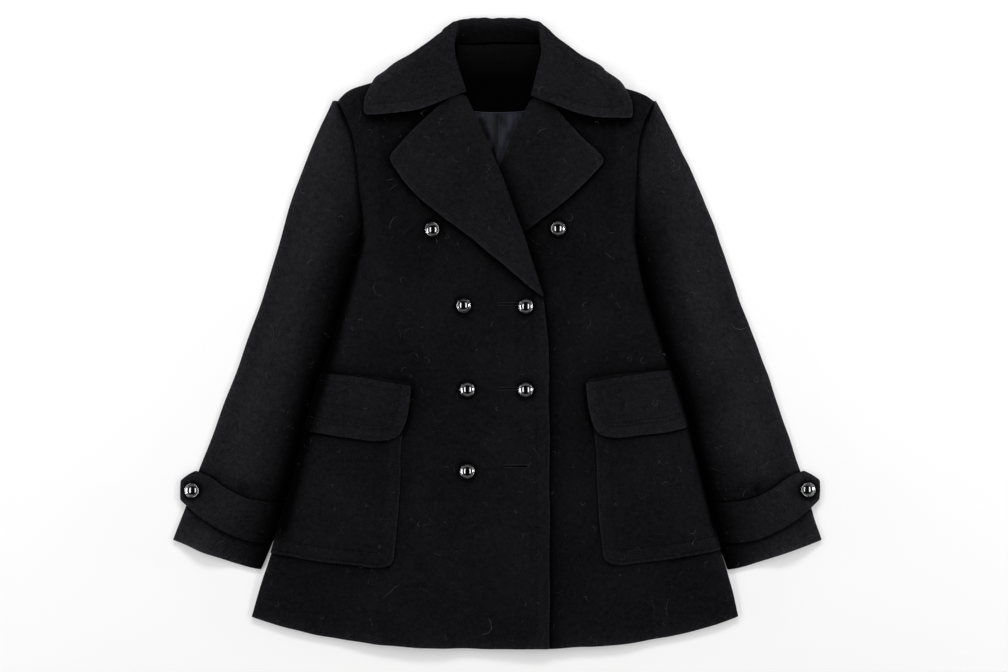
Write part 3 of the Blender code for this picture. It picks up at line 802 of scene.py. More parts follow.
def below_edges(points, corner, heights, turns=EDGE_TURNS):
    """Share of light that is left where an edge in these headings stands in the way."""
    share = np.ones(len(points))
    for turn in turns:
        heading = np.array((math.cos(math.radians(turn)), math.sin(math.radians(turn))))
        steepest = np.zeros(len(points))
        for reach in EDGE_REACH:
            found = heights_at(points[:, :2] + reach * MM * heading, corner, heights)
            steepest = np.maximum(steepest, (found - points[:, 2] - EDGE_STEP) / (reach * MM))
        hidden = ramp(steepest, *EDGE_SLOPE)
        share -= EDGE_DARK * hidden * hidden * (3 - 2 * hidden) / len(turns)
    return share


def drop(tree, x, y):
    """The highest surface point under the sky at x, y, with its normal and face."""
    place, normal, face, _ = tree.ray_cast(Vector((x, y, 0.2)), Vector((0, 0, -1)))
    return place, normal, face


# ----------------------------------------------------------------------------- materials


def feed(tree, node, values):
    """Give a node's inputs numbers, or join them to sockets."""
    for key, value in values.items():
        if isinstance(value, bpy.types.NodeSocket):
            tree.links.new(value, node.inputs[key])
        else:
            node.inputs[key].default_value = value
    return node


def add(tree, kind, values=None, **traits):
    """A new node with its traits set and its inputs fed."""
    made = tree.nodes.new(kind)
    for trait, value in traits.items():
        setattr(made, trait, value)
    return feed(tree, made, values or {})


def sums(tree, how, a, b):
    return add(tree, "ShaderNodeMath", {0: a, 1: b}, operation=how).outputs[0]


def times(tree, a, b):
    return sums(tree, "MULTIPLY", a, b)


def total(tree, *parts):
    """The sum of some sockets, each times its weight."""
    whole = None
    for value, weight in parts:
        part = times(tree, value, weight)
        whole = part if whole is None else sums(tree, "ADD", whole, part)
    return whole


def spread(tree, value, low, high, to_low=0.0, to_high=1.0, smooth=False):
    """A value taken from one range to another."""
    return add(
        tree, "ShaderNodeMapRange",
        {"Value": value, "From Min": low, "From Max": high, "To Min": to_low, "To Max": to_high},
        interpolation_type="SMOOTHSTEP" if smooth else "LINEAR").outputs["Result"]


def place_on(tree):
    """The point of the cloth that is shaded, in metres."""
    return add(tree, "ShaderNodeTexCoord").outputs["Object"]


def written(tree, name):
    """A value written on the points of the mesh."""
    return add(tree, "ShaderNodeAttribute", attribute_name=name).outputs["Fac"]


def moved_place(tree, how, values):
    return add(tree, "ShaderNodeVectorMath", values, operation=how).outputs[0]


def speckle(tree, place, scale, detail=2.0, roughness=0.5):
    return add(
        tree, "ShaderNodeTexNoise",
        {"Vector": place, "Scale": scale, "Detail": detail, "Roughness": roughness},
        normalize=True).outputs["Fac"]


def turned(tree, place, angle, stretch=(1, 1, 1)):
    """A place turned about the upright axis and stretched."""
    return add(
        tree, "ShaderNodeMapping",
        {"Vector": place, "Rotation": (0, 0, math.radians(angle)), "Scale": stretch},
        vector_type="POINT").outputs["Vector"]


def streaks_on(tree, angle, stretch, low, high, detail=2.0):
    """Long specks in one direction, from 0 to 1."""
    place = turned(tree, place_on(tree), angle, stretch)
    return spread(tree, speckle(tree, place, 1.0, detail), low, high)


def mixed(tree, share, a, b, how="MIX"):
    """Two colours mixed, or one multiplied by the other."""
    a, b = (c if isinstance(c, bpy.types.NodeSocket) else (*c, 1)[:4] for c in (a, b))
    return add(
        tree, "ShaderNodeMix", {0: share, 6: a, 7: b}, data_type="RGBA", blend_type=how).outputs[2]


def dimmed(tree, colour, share):
    """A colour multiplied by one number."""
    grey = add(tree, "ShaderNodeCombineColor", {i: share for i in range(3)}).outputs[0]
    return mixed(tree, 1.0, colour, grey, how="MULTIPLY")


def new_group(name, inputs, outputs):
    """A shader group, and its nodes for what goes in and what comes out.

    A socket that holds a tuple is a colour, and any other is a number.
    """
    group = bpy.data.node_groups.new(name, "ShaderNodeTree")
    for way, sockets in (("INPUT", inputs), ("OUTPUT", outputs)):
        for label, value in sockets.items():
            kind = "NodeSocketColor" if isinstance(value, tuple) else "NodeSocketFloat"
            socket = group.interface.new_socket(name=label, in_out=way, socket_type=kind)
            socket.default_value = value
    return group, group.nodes.new("NodeGroupInput"), group.nodes.new("NodeGroupOutput")


def wool_group():
    """Milled wool: short crossed fibres over a soft mottled ground."""
    if "Milled wool" in bpy.data.node_groups:
        return bpy.data.node_groups["Milled wool"]
    black = (0, 0, 0, 1)
    tree, given, out = new_group(
        "Milled wool", {"Ground": black, "Nap": black, "Fibre Scale": 1.0, "Mottle": 1.0},
        {"Colour": black, "Roughness": 0.0, "Height": 0.0})
    place = place_on(tree)
    bend = add(
        tree, "ShaderNodeTexNoise", {"Vector": place, "Scale": 90.0, "Detail": 1.0}).outputs["Color"]
    bend = moved_place(tree, "SCALE", {0: bend, "Scale": 0.0035})
    place = moved_place(tree, "ADD", {0: place, 1: bend})
    scaled = moved_place(tree, "SCALE", {0: place, "Scale": given.outputs["Fibre Scale"]})
    strands = [
        spread(tree, speckle(tree, turned(tree, scaled, angle, stretch), 1.0, 1.0), 0.50, 0.74)
        for angle, stretch in (
            (24, (1500, 260, 700)), (-52, (1300, 240, 700)), (78, (1700, 300, 700)))]
    fibres = sums(tree, "MAXIMUM", sums(tree, "MAXIMUM", strands[0], strands[1]), strands[2])
    clumps = spread(tree, speckle(tree, scaled, 420.0, 2.0, 0.6), 0.35, 0.68)
    mottle = spread(tree, speckle(tree, place, 165.0, 3.0, 0.6), 0.34, 0.66)
    patches = spread(tree, speckle(tree, place, 13.0, 2.0, 0.5), 0.32, 0.68)
    uneven = times(tree, total(tree, (mottle, 1.0), (patches, 0.7)), given.outputs["Mottle"])
    share = total(tree, (fibres, 0.40), (clumps, 0.26), (uneven, 0.26))
    feed(tree, out, {
        "Colour": mixed(tree, share, given.outputs["Ground"], given.outputs["Nap"]),
        "Roughness": spread(tree, clumps, 0, 1, 0.98, 0.86),
        "Height": total(tree, (fibres, 0.16), (clumps, 0.28), (mottle, 0.45))})
    return tree


def row_group():
    """What a sewn row does to cloth: a narrow groove, and a proud band outside it."""
    if "Sewn row" in bpy.data.node_groups:
        return bpy.data.node_groups["Sewn row"]
    tree, given, out = new_group(
        "Sewn row", {"Distance": 0.0, "Row": 0.0, "Width": 1.0}, {"Groove": 0.0, "Band": 0.0})
    beyond = sums(tree, "SUBTRACT", given.outputs["Distance"], given.outputs["Row"])
    near = sums(tree, "DIVIDE", sums(tree, "ABSOLUTE", beyond, 0.0), given.outputs["Width"])
    feed(tree, out, {
        "Groove": spread(tree, near, 0.0, 1.0, 1.0, 0.0, smooth=True),
        "Band": spread(tree, beyond, -1.5, 1.5, 1.0, 0.0, smooth=True)})
    return tree


def placed(tree, group, values):
    """A shader group used as a node."""
    return add(tree, "ShaderNodeGroup", values, node_tree=group)


def new_material(name, colour):
    """An empty material with its shader, for the nodes that follow."""
    made = bpy.data.materials.new(name)
    made.use_nodes = True
    made.diffuse_color = (*colour, 1)
    tree = made.node_tree
    tree.nodes.clear()
    shader = add(tree, "ShaderNodeBsdfPrincipled")
    add(tree, "ShaderNodeOutputMaterial", {"Surface": shader.outputs[0]})
    return made, tree, shader


def bump(tree, shader, height, distance, strength=1.0):
    made = add(
        tree, "ShaderNodeBump", {"Height": height, "Distance": distance, "Strength": strength})
    feed(tree, shader, {"Normal": made.outputs["Normal"]})


def scaled_colour(colour, share):
    return tuple(c * share for c in colour)


def wool_material(name, rows=(), top_row=None, lift=1.0, pull=1.0):
    """Wool cloth, with the sewn rows at these distances in millimetres from the cut edge.

    Lift is the share of colour, painted light that makes each piece lighter or darker by how light
    falls on it, and pull how hard the rows draw the cloth in.
    """
    if name in bpy.data.materials:
        return bpy.data.materials[name]
    cloth = settings(bpy.context).cloth
    # Lift makes lit and shaded copies of one wool: painted light.
    ground, nap = scaled_colour(cloth.wool, lift), scaled_colour(cloth.nap, lift)
    made, tree, shader = new_material(name, ground)
    wool = placed(tree, wool_group(), {"Ground": (*ground, 1), "Nap": (*nap, 1)})
    colour, height = wool.outputs["Colour"], wool.outputs["Height"]
    sewn_rows = [(FROM_EDGE, row) for row in rows] + ([(FROM_TOP, top_row)] if top_row else [])
    for attribute, row in sewn_rows:
        effect = placed(
            tree, row_group(), {"Distance": written(tree, attribute), "Row": row, "Width": 1.7})
        groove, band = effect.outputs["Groove"], effect.outputs["Band"]
        # Painted shade in the row's groove, and a painted highlight on the proud band outside it.
        shade = spread(tree, groove, 0, 1, 1.0, 1.0 - 0.36 * pull)
        glow = spread(tree, band, 0, 1, 1.0, 1.0 + 0.25 * pull / len(sewn_rows))
        colour = dimmed(tree, colour, times(tree, shade, glow))
        height = sums(tree, "SUBTRACT", height, times(tree, groove, 0.8 * pull))
    if rows:
        # Painted highlight on the rolled edge, a few millimetres wide.
        rim = spread(tree, written(tree, FROM_EDGE), 0.6, 4.0, 1.38, 1.0, smooth=True)
        colour = dimmed(tree, colour, rim)
    # The shade painted into the hollows and below edges darkens the colour.
    feed(tree, shader, {
        "Base Color": dimmed(tree, colour, written(tree, SHADE)),
        "Roughness": wool.outputs["Roughness"],
        "Specular IOR Level": 0.02, "Sheen Weight": 0.020, "Sheen Roughness": 0.28})
    bump(tree, shader, height, 0.001)
    return made


def thread_material(name, colour, roughness=0.6):
    """Twisted thread: fine slanting lines and a dull shine."""
    made, tree, shader = new_material(name, colour)
    twist = add(
        tree, "ShaderNodeTexWave",
        {"Vector": turned(tree, place_on(tree), 37), "Scale": 1100.0, "Distortion": 1.5},
        bands_direction="X").outputs["Fac"]
    feed(tree, shader, {
        "Base Color": mixed(tree, twist, scaled_colour(colour, 0.6), colour),
        "Roughness": spread(tree, twist, 0, 1, roughness, roughness * 0.8),
        "Specular IOR Level": 0.3})
    bump(tree, shader, twist, 0.0001)
    return made


def satin_material():
    """Lining satin: a close slanting weave with soft streaks."""
    colour = tuple(settings(bpy.context).cloth.satin)
    made, tree, shader = new_material("Navy satin", colour)
    weave = add(
        tree, "ShaderNodeTexWave",
        {"Vector": turned(tree, place_on(tree), 45), "Scale": 900.0, "Distortion": 0.8,
         "Detail": 1.0}, bands_direction="X").outputs["Fac"]
    streaks = streaks_on(tree, 4, (420, 22, 60), 0.3, 0.7, detail=3.0)
    soft = spread(tree, speckle(tree, place_on(tree), 70.0, 2.0), 0.3, 0.7)
    share = total(tree, (streaks, 0.45), (soft, 0.4))
    ground = mixed(tree, share, scaled_colour(colour, 0.35), scaled_colour(colour, 2.0))
    # The shade painted into the lining's folds darkens the colour.
    feed(tree, shader, {
        "Base Color": dimmed(tree, ground, written(tree, SHADE)),
        "Roughness": spread(tree, streaks, 0, 1, 0.50, 0.40),
        "Specular IOR Level": 0.12, "Anisotropic": 0.4})
    bump(tree, shader, total(tree, (weave, 0.02), (soft, 0.5)), 0.001, 0.6)
    return made


def facing_material():
    """Close black cloth inside the neck, with a fine cross weave."""
    colour = tuple(settings(bpy.context).cloth.facing)
    made, tree, shader = new_material("Neck facing cloth", colour)
    wool = placed(
        tree, wool_group(),
        {"Ground": (*colour, 1), "Nap": (*scaled_colour(colour, 2.4), 1), "Fibre Scale": 1.3,
         "Mottle": 0.6})
    creases = streaks_on(tree, 3, (9, 150, 10), 0.4, 0.7)
    # The shade painted deeper into the neck darkens the colour.
    feed(tree, shader, {
        "Base Color": dimmed(tree, wool.outputs["Colour"], written(tree, SHADE)),
        "Roughness": wool.outputs["Roughness"],
        "Specular IOR Level": 0.0})
    bump(tree, shader, total(tree, (wool.outputs["Height"], 1.0), (creases, 0.9)), 0.001, 0.7)
    return made


def metal_material():
    """Polished dark metal with faint handling marks."""
    buttons = settings(bpy.context).buttons
    colour = tuple(buttons.metal)
    made, tree, shader = new_material("Gunmetal", colour)
    marks = streaks_on(tree, 31, (2400, 300, 900), 0.62, 0.78)
    clouds = spread(tree, speckle(tree, place_on(tree), 260.0, 3.0), 0.35, 0.7)
    rough = spread(tree, clouds, 0, 1, buttons.gloss, buttons.gloss + 0.05)
    feed(tree, shader, {
        "Base Color": mixed(tree, clouds, colour, scaled_colour(colour, 1.35)),
        "Roughness": total(tree, (rough, 1.0), (marks, 0.10)),
        "Metallic": 1.0})
    bump(tree, shader, times(tree, marks, -0.02), 0.001, 0.5)
    return made


def lint_material():
    """Pale loose fibre, a little uneven along its length."""
    colour = tuple(settings(bpy.context).lint.colour)
    made, tree, shader = new_material("Loose fibre", colour)
    uneven = spread(tree, speckle(tree, place_on(tree), 60.0, 2.0), 0.3, 0.7)
    feed(tree, shader, {
        "Base Color": mixed(tree, uneven, scaled_colour(colour, 0.25), colour),
        "Roughness": 0.7})
    bump(tree, shader, uneven, 0.0001, 0.3)
    return made


def slit_material():
    """Near-black cloth that paints the shade inside a buttonhole."""
    made, tree, shader = new_material("Buttonhole slit", (0.0006, 0.0006, 0.0007))
    nap = placed(tree, wool_group(), {
        "Ground": (0.0005, 0.0005, 0.0006, 1), "Nap": (0.0014, 0.0014, 0.0015, 1)})
    feed(tree, shader, {
        "Base Color": nap.outputs["Colour"], "Roughness": nap.outputs["Roughness"],
        "Specular IOR Level": 0.0})
    return made


# ----------------------------------------------------------------------------- the pieces


class CoatStep(bpy.types.Operator):
    """What all steps of laying out the coat share"""

    bl_options = {"REGISTER", "UNDO"}


class COAT_OT_back(CoatStep):
    """Lay the back panel, the lowest layer of the body"""

    bl_idname = "coat.back"
    bl_label = "Back"

    def execute(self, context):
        piece = lay_cloth("back", "back_panel", wool_material("Wool", lift=0.86), levels=1)
        return {"FINISHED"}


class COAT_OT_fronts(CoatStep):
    """Lay the two fronts, the one that buttons over on top"""

    bl_idname = "coat.fronts"
    bl_label = "Fronts"

    def execute(self, context):
        under = lay_cloth("front_left", "under_front", wool_material("Wool", lift=0.86), levels=2)
        sewn_wool = wool_material("Wool front", rows=(FRONT_ROW,), lift=0.86, pull=0.6)
        over = lay_cloth("front_right", "over_front", sewn_wool, levels=2)
        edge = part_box("front_right")[1].x
        mark_distance(
            over, FROM_EDGE, lambda p: p[0] > edge - FREE_EDGE_WITHIN and p[1] < UPPER_ROLL[1][1])
        raise_band(over, FROM_EDGE, FRONT_ROW, FRONT_RISE)
        return {"FINISHED"}


class COAT_OT_sleeves(CoatStep):
    """Lay the two-piece sleeves"""

    bl_idname = "coat.sleeves"
    bl_label = "Sleeves"

    def execute(self, context):
        wool = wool_material("Wool sleeve", lift=1.7)
        for side in ("right", "left"):
            below = lay_cloth("sleeve_under_" + side, "under_sleeve_" + side, wool, levels=2)
            above = lay_cloth("sleeve_top_" + side, "upper_sleeve_" + side, wool)
        return {"FINISHED"}


class COAT_OT_cuff_straps(CoatStep):
    """Lay the straps round the cuffs"""

    bl_idname = "coat.cuff_straps"
    bl_label = "Cuff straps"

    def execute(self, context):
        wool = wool_material("Wool strap", lift=1.5)
        for side in ("right", "left"):
            piece = lay_cloth("cuff_strap_" + side, "strap_" + side, wool)
        return {"FINISHED"}


class COAT_OT_pockets(CoatStep):
    """Lay the patch pockets and their flaps"""

    bl_idname = "coat.pockets"
    bl_label = "Pockets and flaps"

    def execute(self, context):
        pocket_wool = wool_material("Wool pocket", rows=POCKET_ROWS, lift=0.90, pull=0.75)
        flap_wool = wool_material(
            "Wool flap", rows=FLAP_ROWS, top_row=FLAP_TOP_ROW, lift=1.12, pull=0.75)
        for side, front in (("right", "over_front"), ("left", "under_front")):
            pocket = lay_cloth("pocket_" + side, "patch_pocket_" + side, pocket_wool)
            by_side, by_top = POCKET_SIDE[side], FLAP_TOP[side]
            mark_distance(pocket, FROM_EDGE, lambda p: (
                off(p, by_side) > NEAR_SIDE and off(p, by_top) > 2 * NEAR_TOP))
            raise_band(pocket, FROM_EDGE, POCKET_ROWS[1], POCKET_RISE)
            flap = lay_cloth("flap_" + side, "pocket_flap_" + side, flap_wool, corner=0.0025)
            mark_distance(flap, FROM_EDGE, lambda p: (
                off(p, by_side) > NEAR_SIDE and off(p, by_top) > NEAR_TOP))
            mark_distance(flap, FROM_TOP, lambda p: (
                off(p, by_side) > NEAR_SIDE and off(p, by_top) < NEAR_TOP))
            raise_band(flap, FROM_EDGE, FLAP_ROWS[0], POCKET_RISE)
        return {"FINISHED"}


class COAT_OT_lapels(CoatStep):
    """Lay the turned-back lapels"""

    bl_idname = "coat.lapels"
    bl_label = "Lapels"

    def execute(self, context):
        wool = wool_material("Wool lapel", rows=(LAPEL_ROW,), lift=1.12, pull=0.3)
        under = lay_cloth("lapel_left", "under_lapel", wool, corner=0.008)
        mark_distance(under, FROM_EDGE, lambda p: (
            p[0] > line_x(LOWER_ROLL, p[1]) + ROLL_MARGIN and p[1] < NOTCH_Y))
        over = lay_cloth("lapel_right", "over_lapel", wool, corner=0.008)
        mark_distance(over, FROM_EDGE, lambda p: (
            p[0] < line_x(UPPER_ROLL, p[1]) - ROLL_MARGIN and p[1] < NOTCH_Y))
        return {"FINISHED"}


class COAT_OT_neck(CoatStep):
    """Lay the lining and the facing inside the neck, with the piping between them"""

    bl_idname = "coat.neck"
    bl_label = "Lining and neck facing"

    def execute(self, context):
        lining = lay_cloth(
            "lining", "body_lining", satin_material(), levels=3, rim=0.0003,
            corner=0.0005, shape=pleated)
        points = points_of(lining.data)
        shade = np.ones(len(points))
        for start, end, width, dark in LINING_SHADES:
            shade *= 1 - dark * bell(distance_to(points[:, :2], start, end), width)
        write_values(lining.data, SHADE, shade)
        facing = lay_cloth(
            "neck_facing", "inner_neck_facing", facing_material(), levels=2, rim=0.0004,
            corner=0.0005, shape=sagged)
        # Shade painted on the facing, deeper away from the neck.
        deep = ramp(points_of(facing.data)[:, 1], *FACING_DARKENS)
        write_values(facing.data, SHADE, 1 - FACING_DARK * deep)
        self.pipe()
        return {"FINISHED"}

    def pipe(self):
        """A round piping along the seam between lining and facing, just above it."""
        tree, _ = surface_under(["body_lining", "inner_neck_facing"])
        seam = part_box("neck_facing")[0].y - PIPING_BELOW
        line = []
        for x in np.linspace(*PIPING_X, 40):
            place = drop(tree, x, seam - seam_sag(x))[0]
            if place:
                line.append((place + Vector((0, 0, PIPING_ABOVE)), 1.0))
        piping = thread_material("Piping", (0.045, 0.047, 0.075), 0.45)
        threads("neck_piping", [line], PIPING_THICK, piping, resolution=3)


def seam_sag(x):
    """How far the seam between lining and facing hangs down at x."""
    return SEAM_SAG * (1 - np.clip(np.abs(x) / SEAM_HALF, 0, 1) ** 2)


def sagged(points, seam=None):
    """The neck facing, whose lower edge hangs down in the middle, or cloth sewn to that edge."""
    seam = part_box("neck_facing")[0].y if seam is None else seam
    near = 1 - np.clip(np.abs(points[:, 1] - seam) / SEAM_PULLS, 0, 1)
    moved = points.copy()
    moved[:, 1] -= near * seam_sag(points[:, 0])
    return moved


def pleated(points):
    """The lining's centre pleat and the soft folds beside it, under its sagging seam."""
    moved = sagged(points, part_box("lining")[1].y)
    x, y = moved[:, 0], moved[:, 1]
    rise = sum(
        high * bell(x - place - slant * (y - PLEAT_Y), width)
        for place, slant, width, high in LINING_PLEATS)
    moved[:, 2] += np.where(moved[:, 2] > LINING_TOP, rise, 0)
    return moved


class COAT_OT_collar(CoatStep):
    """Lay the collar, whose stand and fall are one"""

    bl_idname = "coat.collar"
    bl_label = "Collar"

    def execute(self, context):
        wool = wool_material("Wool collar", rows=(COLLAR_ROW,), lift=1.30, pull=0.6)
        piece = lay_cloth(
            "collar", "coat_collar", wool, levels=2, corner=0.004, shape=self.puckered)
        out, up = COLLAR_EDGE_FROM
        mark_distance(piece, FROM_EDGE, lambda p: abs(p[0] - NECK_MIDDLE) > out and p[2] > up)
        return {"FINISHED"}

    def puckered(self, points):
        """The fold at the back of the neck, gathered a little where it turns over."""
        x, y = points[:, 0], points[:, 1]
        at_fold = ramp(y, *PUCKER_GROWS) * ramp(np.abs(x), *PUCKER_ENDS)
        short, long = (2 * math.pi * x / length for length in PUCKER_WAVES)
        wave = np.sin(short + 0.8) + 0.6 * np.sin(long)
        moved = points.copy()
        moved[:, 1] += PUCKER * at_fold * (wave - 0.8)
        moved[:, 2] -= PUCKER * at_fold * np.maximum(wave, 0)
        return moved


class COAT_OT_stitching(CoatStep):
    """Sew the rows that hold the edges"""

    bl_idname = "coat.stitching"
    bl_label = "Stitching"

    def execute(self, context):
        thread = settings(context).thread
        dice = random.Random(11)
        pale = thread_material("Sewing thread", tuple(thread.colour))
        # This thread is only darker in colour; its rows are sewn at the same depth as the pale ones.
        dark = thread_material("Sunken sewing thread", scaled_colour(thread.colour, 0.30))
        front_top = UPPER_ROLL[1][1] - 0.012
        out, up = COLLAR_ROW_FROM
        rows = {
            "front_stitching": [("over_front", FROM_EDGE, FRONT_ROW, lambda p: p.y < front_top)],
            "collar_stitching": [
                ("coat_collar", FROM_EDGE, COLLAR_ROW, lambda p: p.z > up and abs(p.x) > out)],
            "lapel_stitching": [
                (name, FROM_EDGE, LAPEL_ROW, None) for name in ("over_lapel", "under_lapel")],
        }
        for side in ("right", "left"):
            flap, pocket = "pocket_flap_" + side, "patch_pocket_" + side
            rows["pocket_stitching_" + side] = [
                (pocket, FROM_EDGE, row, None) for row in POCKET_ROWS]
            rows["flap_stitching_" + side] = [
                *((flap, FROM_EDGE, row, None) for row in FLAP_ROWS),
                (flap, FROM_TOP, FLAP_TOP_ROW, None)]
        for name, wanted in rows.items():
            lines = []
            for piece, attribute, row, keep in wanted:
                for line in rows_at(bpy.data.objects[piece], attribute, row, keep):
                    lines.extend(sewn(line, thread, dice))
            on_pocket = name.startswith(("pocket", "flap"))
            threads(name, lines, thread.thickness, pale if on_pocket else dark)
        return {"FINISHED"}


class COAT_OT_buttonholes(CoatStep):
    """Work the buttonholes in the front that lies on top"""

    bl_idname = "coat.buttonholes"
    bl_label = "Buttonholes"

    def execute(self, context):
        thread = settings(context).thread
        tree, _ = surface_under(["over_front"])
        dice = random.Random(5)
        silk = thread_material("Buttonhole silk", scaled_colour(thread.colour, 1.7), 0.5)
        lines = []
        for start, end, y, _ in BUTTONHOLES:
            lines.extend(self.bound(tree, start, end, y, dice))
        threads("buttonhole_silk", lines, SILK_THICK, silk)
        # Near-black strips over the holes paint the shade inside them.
        slits = []
        for start, end, y, gapes in BUTTONHOLES:
            line = []
            for share in np.linspace(0, 1, 18):
                place, normal, _ = drop(tree, lerp(start, end, share), y)
                width = gapes * (0.25 + 0.75 * min(1, share * 1.5) ** 2)
                line.append((place + normal * 0.00002, width))
            slits.append(line)
        threads("buttonhole_slits", slits, SLIT_WIDTH, slit_material())
        return {"FINISHED"}

    def bound(self, tree, start, end, y, dice):
        """Close purl stitches on both lips of one hole and a bar across its inner end."""
        lines = []
        count = int((end - start) / PURL_PITCH)
        *arch, (outermost, dive) = PURL_ARCH
        for k in range(count + 1):
            x = lerp(start, end, k / count)
            for lip in (-1, 1):
                reach = outermost + dice.uniform(-0.0002, 0.0002)
                line = []
                for out, lift in (*arch, (reach, dive)):
                    place, normal, _ = drop(tree, x + dice.uniform(-1, 1) * 0.00006, y + lip * out)
                    line.append((place + normal * lift, 1.0))
                lines.append(line)
        for beyond in BAR_BEYOND:
            line = []
            for share in np.linspace(-1, 1, 5):
                place, normal, _ = drop(tree, end + beyond, y + share * BAR_HALF)
                line.append((place + normal * (0.0005 * (1 - share * share) - 0.0001), 1.0))
            lines.append(line)
        return lines


# Half the outline of a button: share of its radius, share of its height above the foot.
BUTTON_OUTLINE = (
    (0.0, 0.0), (0.26, 0.0), (0.29, 0.04), (0.29, 0.28), (0.34, 0.33), (0.80, 0.345), (0.93, 0.37),
    (0.985, 0.41), (1.0, 0.46), (0.985, 0.51), (0.94, 0.535), (0.905, 0.53), (0.885, 0.51),
)
# The dome on it is part of a ball: share of the radius at its foot, share of the height there,
# and steps from foot to top.
DOME = (0.865, 0.52, 10)


class COAT_OT_buttons(CoatStep):
    """Turn the domed buttons and set them in place on the cloth"""

    bl_idname = "coat.buttons"
    bl_label = "Buttons"

    def execute(self, context):
        metal = metal_material()
        for node in BUTTON_NODES:
            self.turn(node, metal, settings(context))
        return {"FINISHED"}

    def turn(self, node, metal, coat):
        """One button on the axis of its solid."""
        foot, axis, radius, height = self.measure(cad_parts[node].data)
        bm = bmesh.new()
        outline = [bm.verts.new((out, 0, up)) for out, up in self.outline(radius, height)]
        edges = [bm.edges.new(pair) for pair in zip(outline, outline[1:])]
        bmesh.ops.spin(
            bm, geom=outline + edges, axis=(0, 0, 1), cent=(0, 0, 0), angle=2 * math.pi,
            steps=coat.buttons.steps, use_merge=True)
        bmesh.ops.remove_doubles(bm, verts=bm.verts, dist=0.001 * MM)
        bmesh.ops.recalc_face_normals(bm, faces=bm.faces)
        turn = Vector((0, 0, 1)).rotation_difference(axis).to_matrix().to_4x4()
        bmesh.ops.transform(bm, matrix=Matrix.Translation(foot) @ turn, verts=bm.verts)
        mesh = bpy.data.meshes.new(node + "_turned")
        bm.to_mesh(mesh)
        bm.free()
        at = np.array([foot[:]])
        set_points(mesh, points_of(mesh) + settle(at, coat.cloth.fold_depth) - at)
        mesh.shade_smooth()
        mesh.materials.append(metal)
        piece = link(node + "_turned", mesh)
        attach(piece, BODY)
        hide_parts(node)

    def measure(self, source):
        """Foot of the shank, axis, radius and height of a button's solid.

        Its lowest flat face is the foot of the shank.
        """
        bm = bmesh.new()
        bm.from_mesh(source)
        bmesh.ops.remove_doubles(bm, verts=bm.verts, dist=MERGE_GAP)
        axis = -min(bm.faces, key=lambda f: f.calc_center_median().z).normal
        heights = [v.co.dot(axis) for v in bm.verts]
        base = min(heights)
        middle = sum((v.co for v in bm.verts), Vector()) / len(bm.verts)
        radius = max((v.co - middle - axis * (v.co - middle).dot(axis)).length for v in bm.verts)
        bm.free()
        return middle + axis * (base - middle.dot(axis)), axis, radius, max(heights) - base

    def outline(self, radius, height):
        """Half outline of one button, from the foot of the shank to the top of the dome."""
        points = [(out * radius, up * height) for out, up in BUTTON_OUTLINE]
        share, foot, steps = DOME
        wide, sag = share * radius, (1 - foot) * height
        ball = (wide * wide + sag * sag) / (2 * sag)
        for k in range(steps, -1, -1):
            angle = math.asin(wide / ball) * k / steps
            points.append((ball * math.sin(angle), height - ball * (1 - math.cos(angle))))
        return points


WOOL_PIECES = (
    "back_panel", "under_front", "over_front", "upper_sleeve_right", "upper_sleeve_left",
    "strap_right", "strap_left", "patch_pocket_right", "patch_pocket_left", "pocket_flap_right",
    "pocket_flap_left", "under_lapel", "over_lapel", "coat_collar",
)


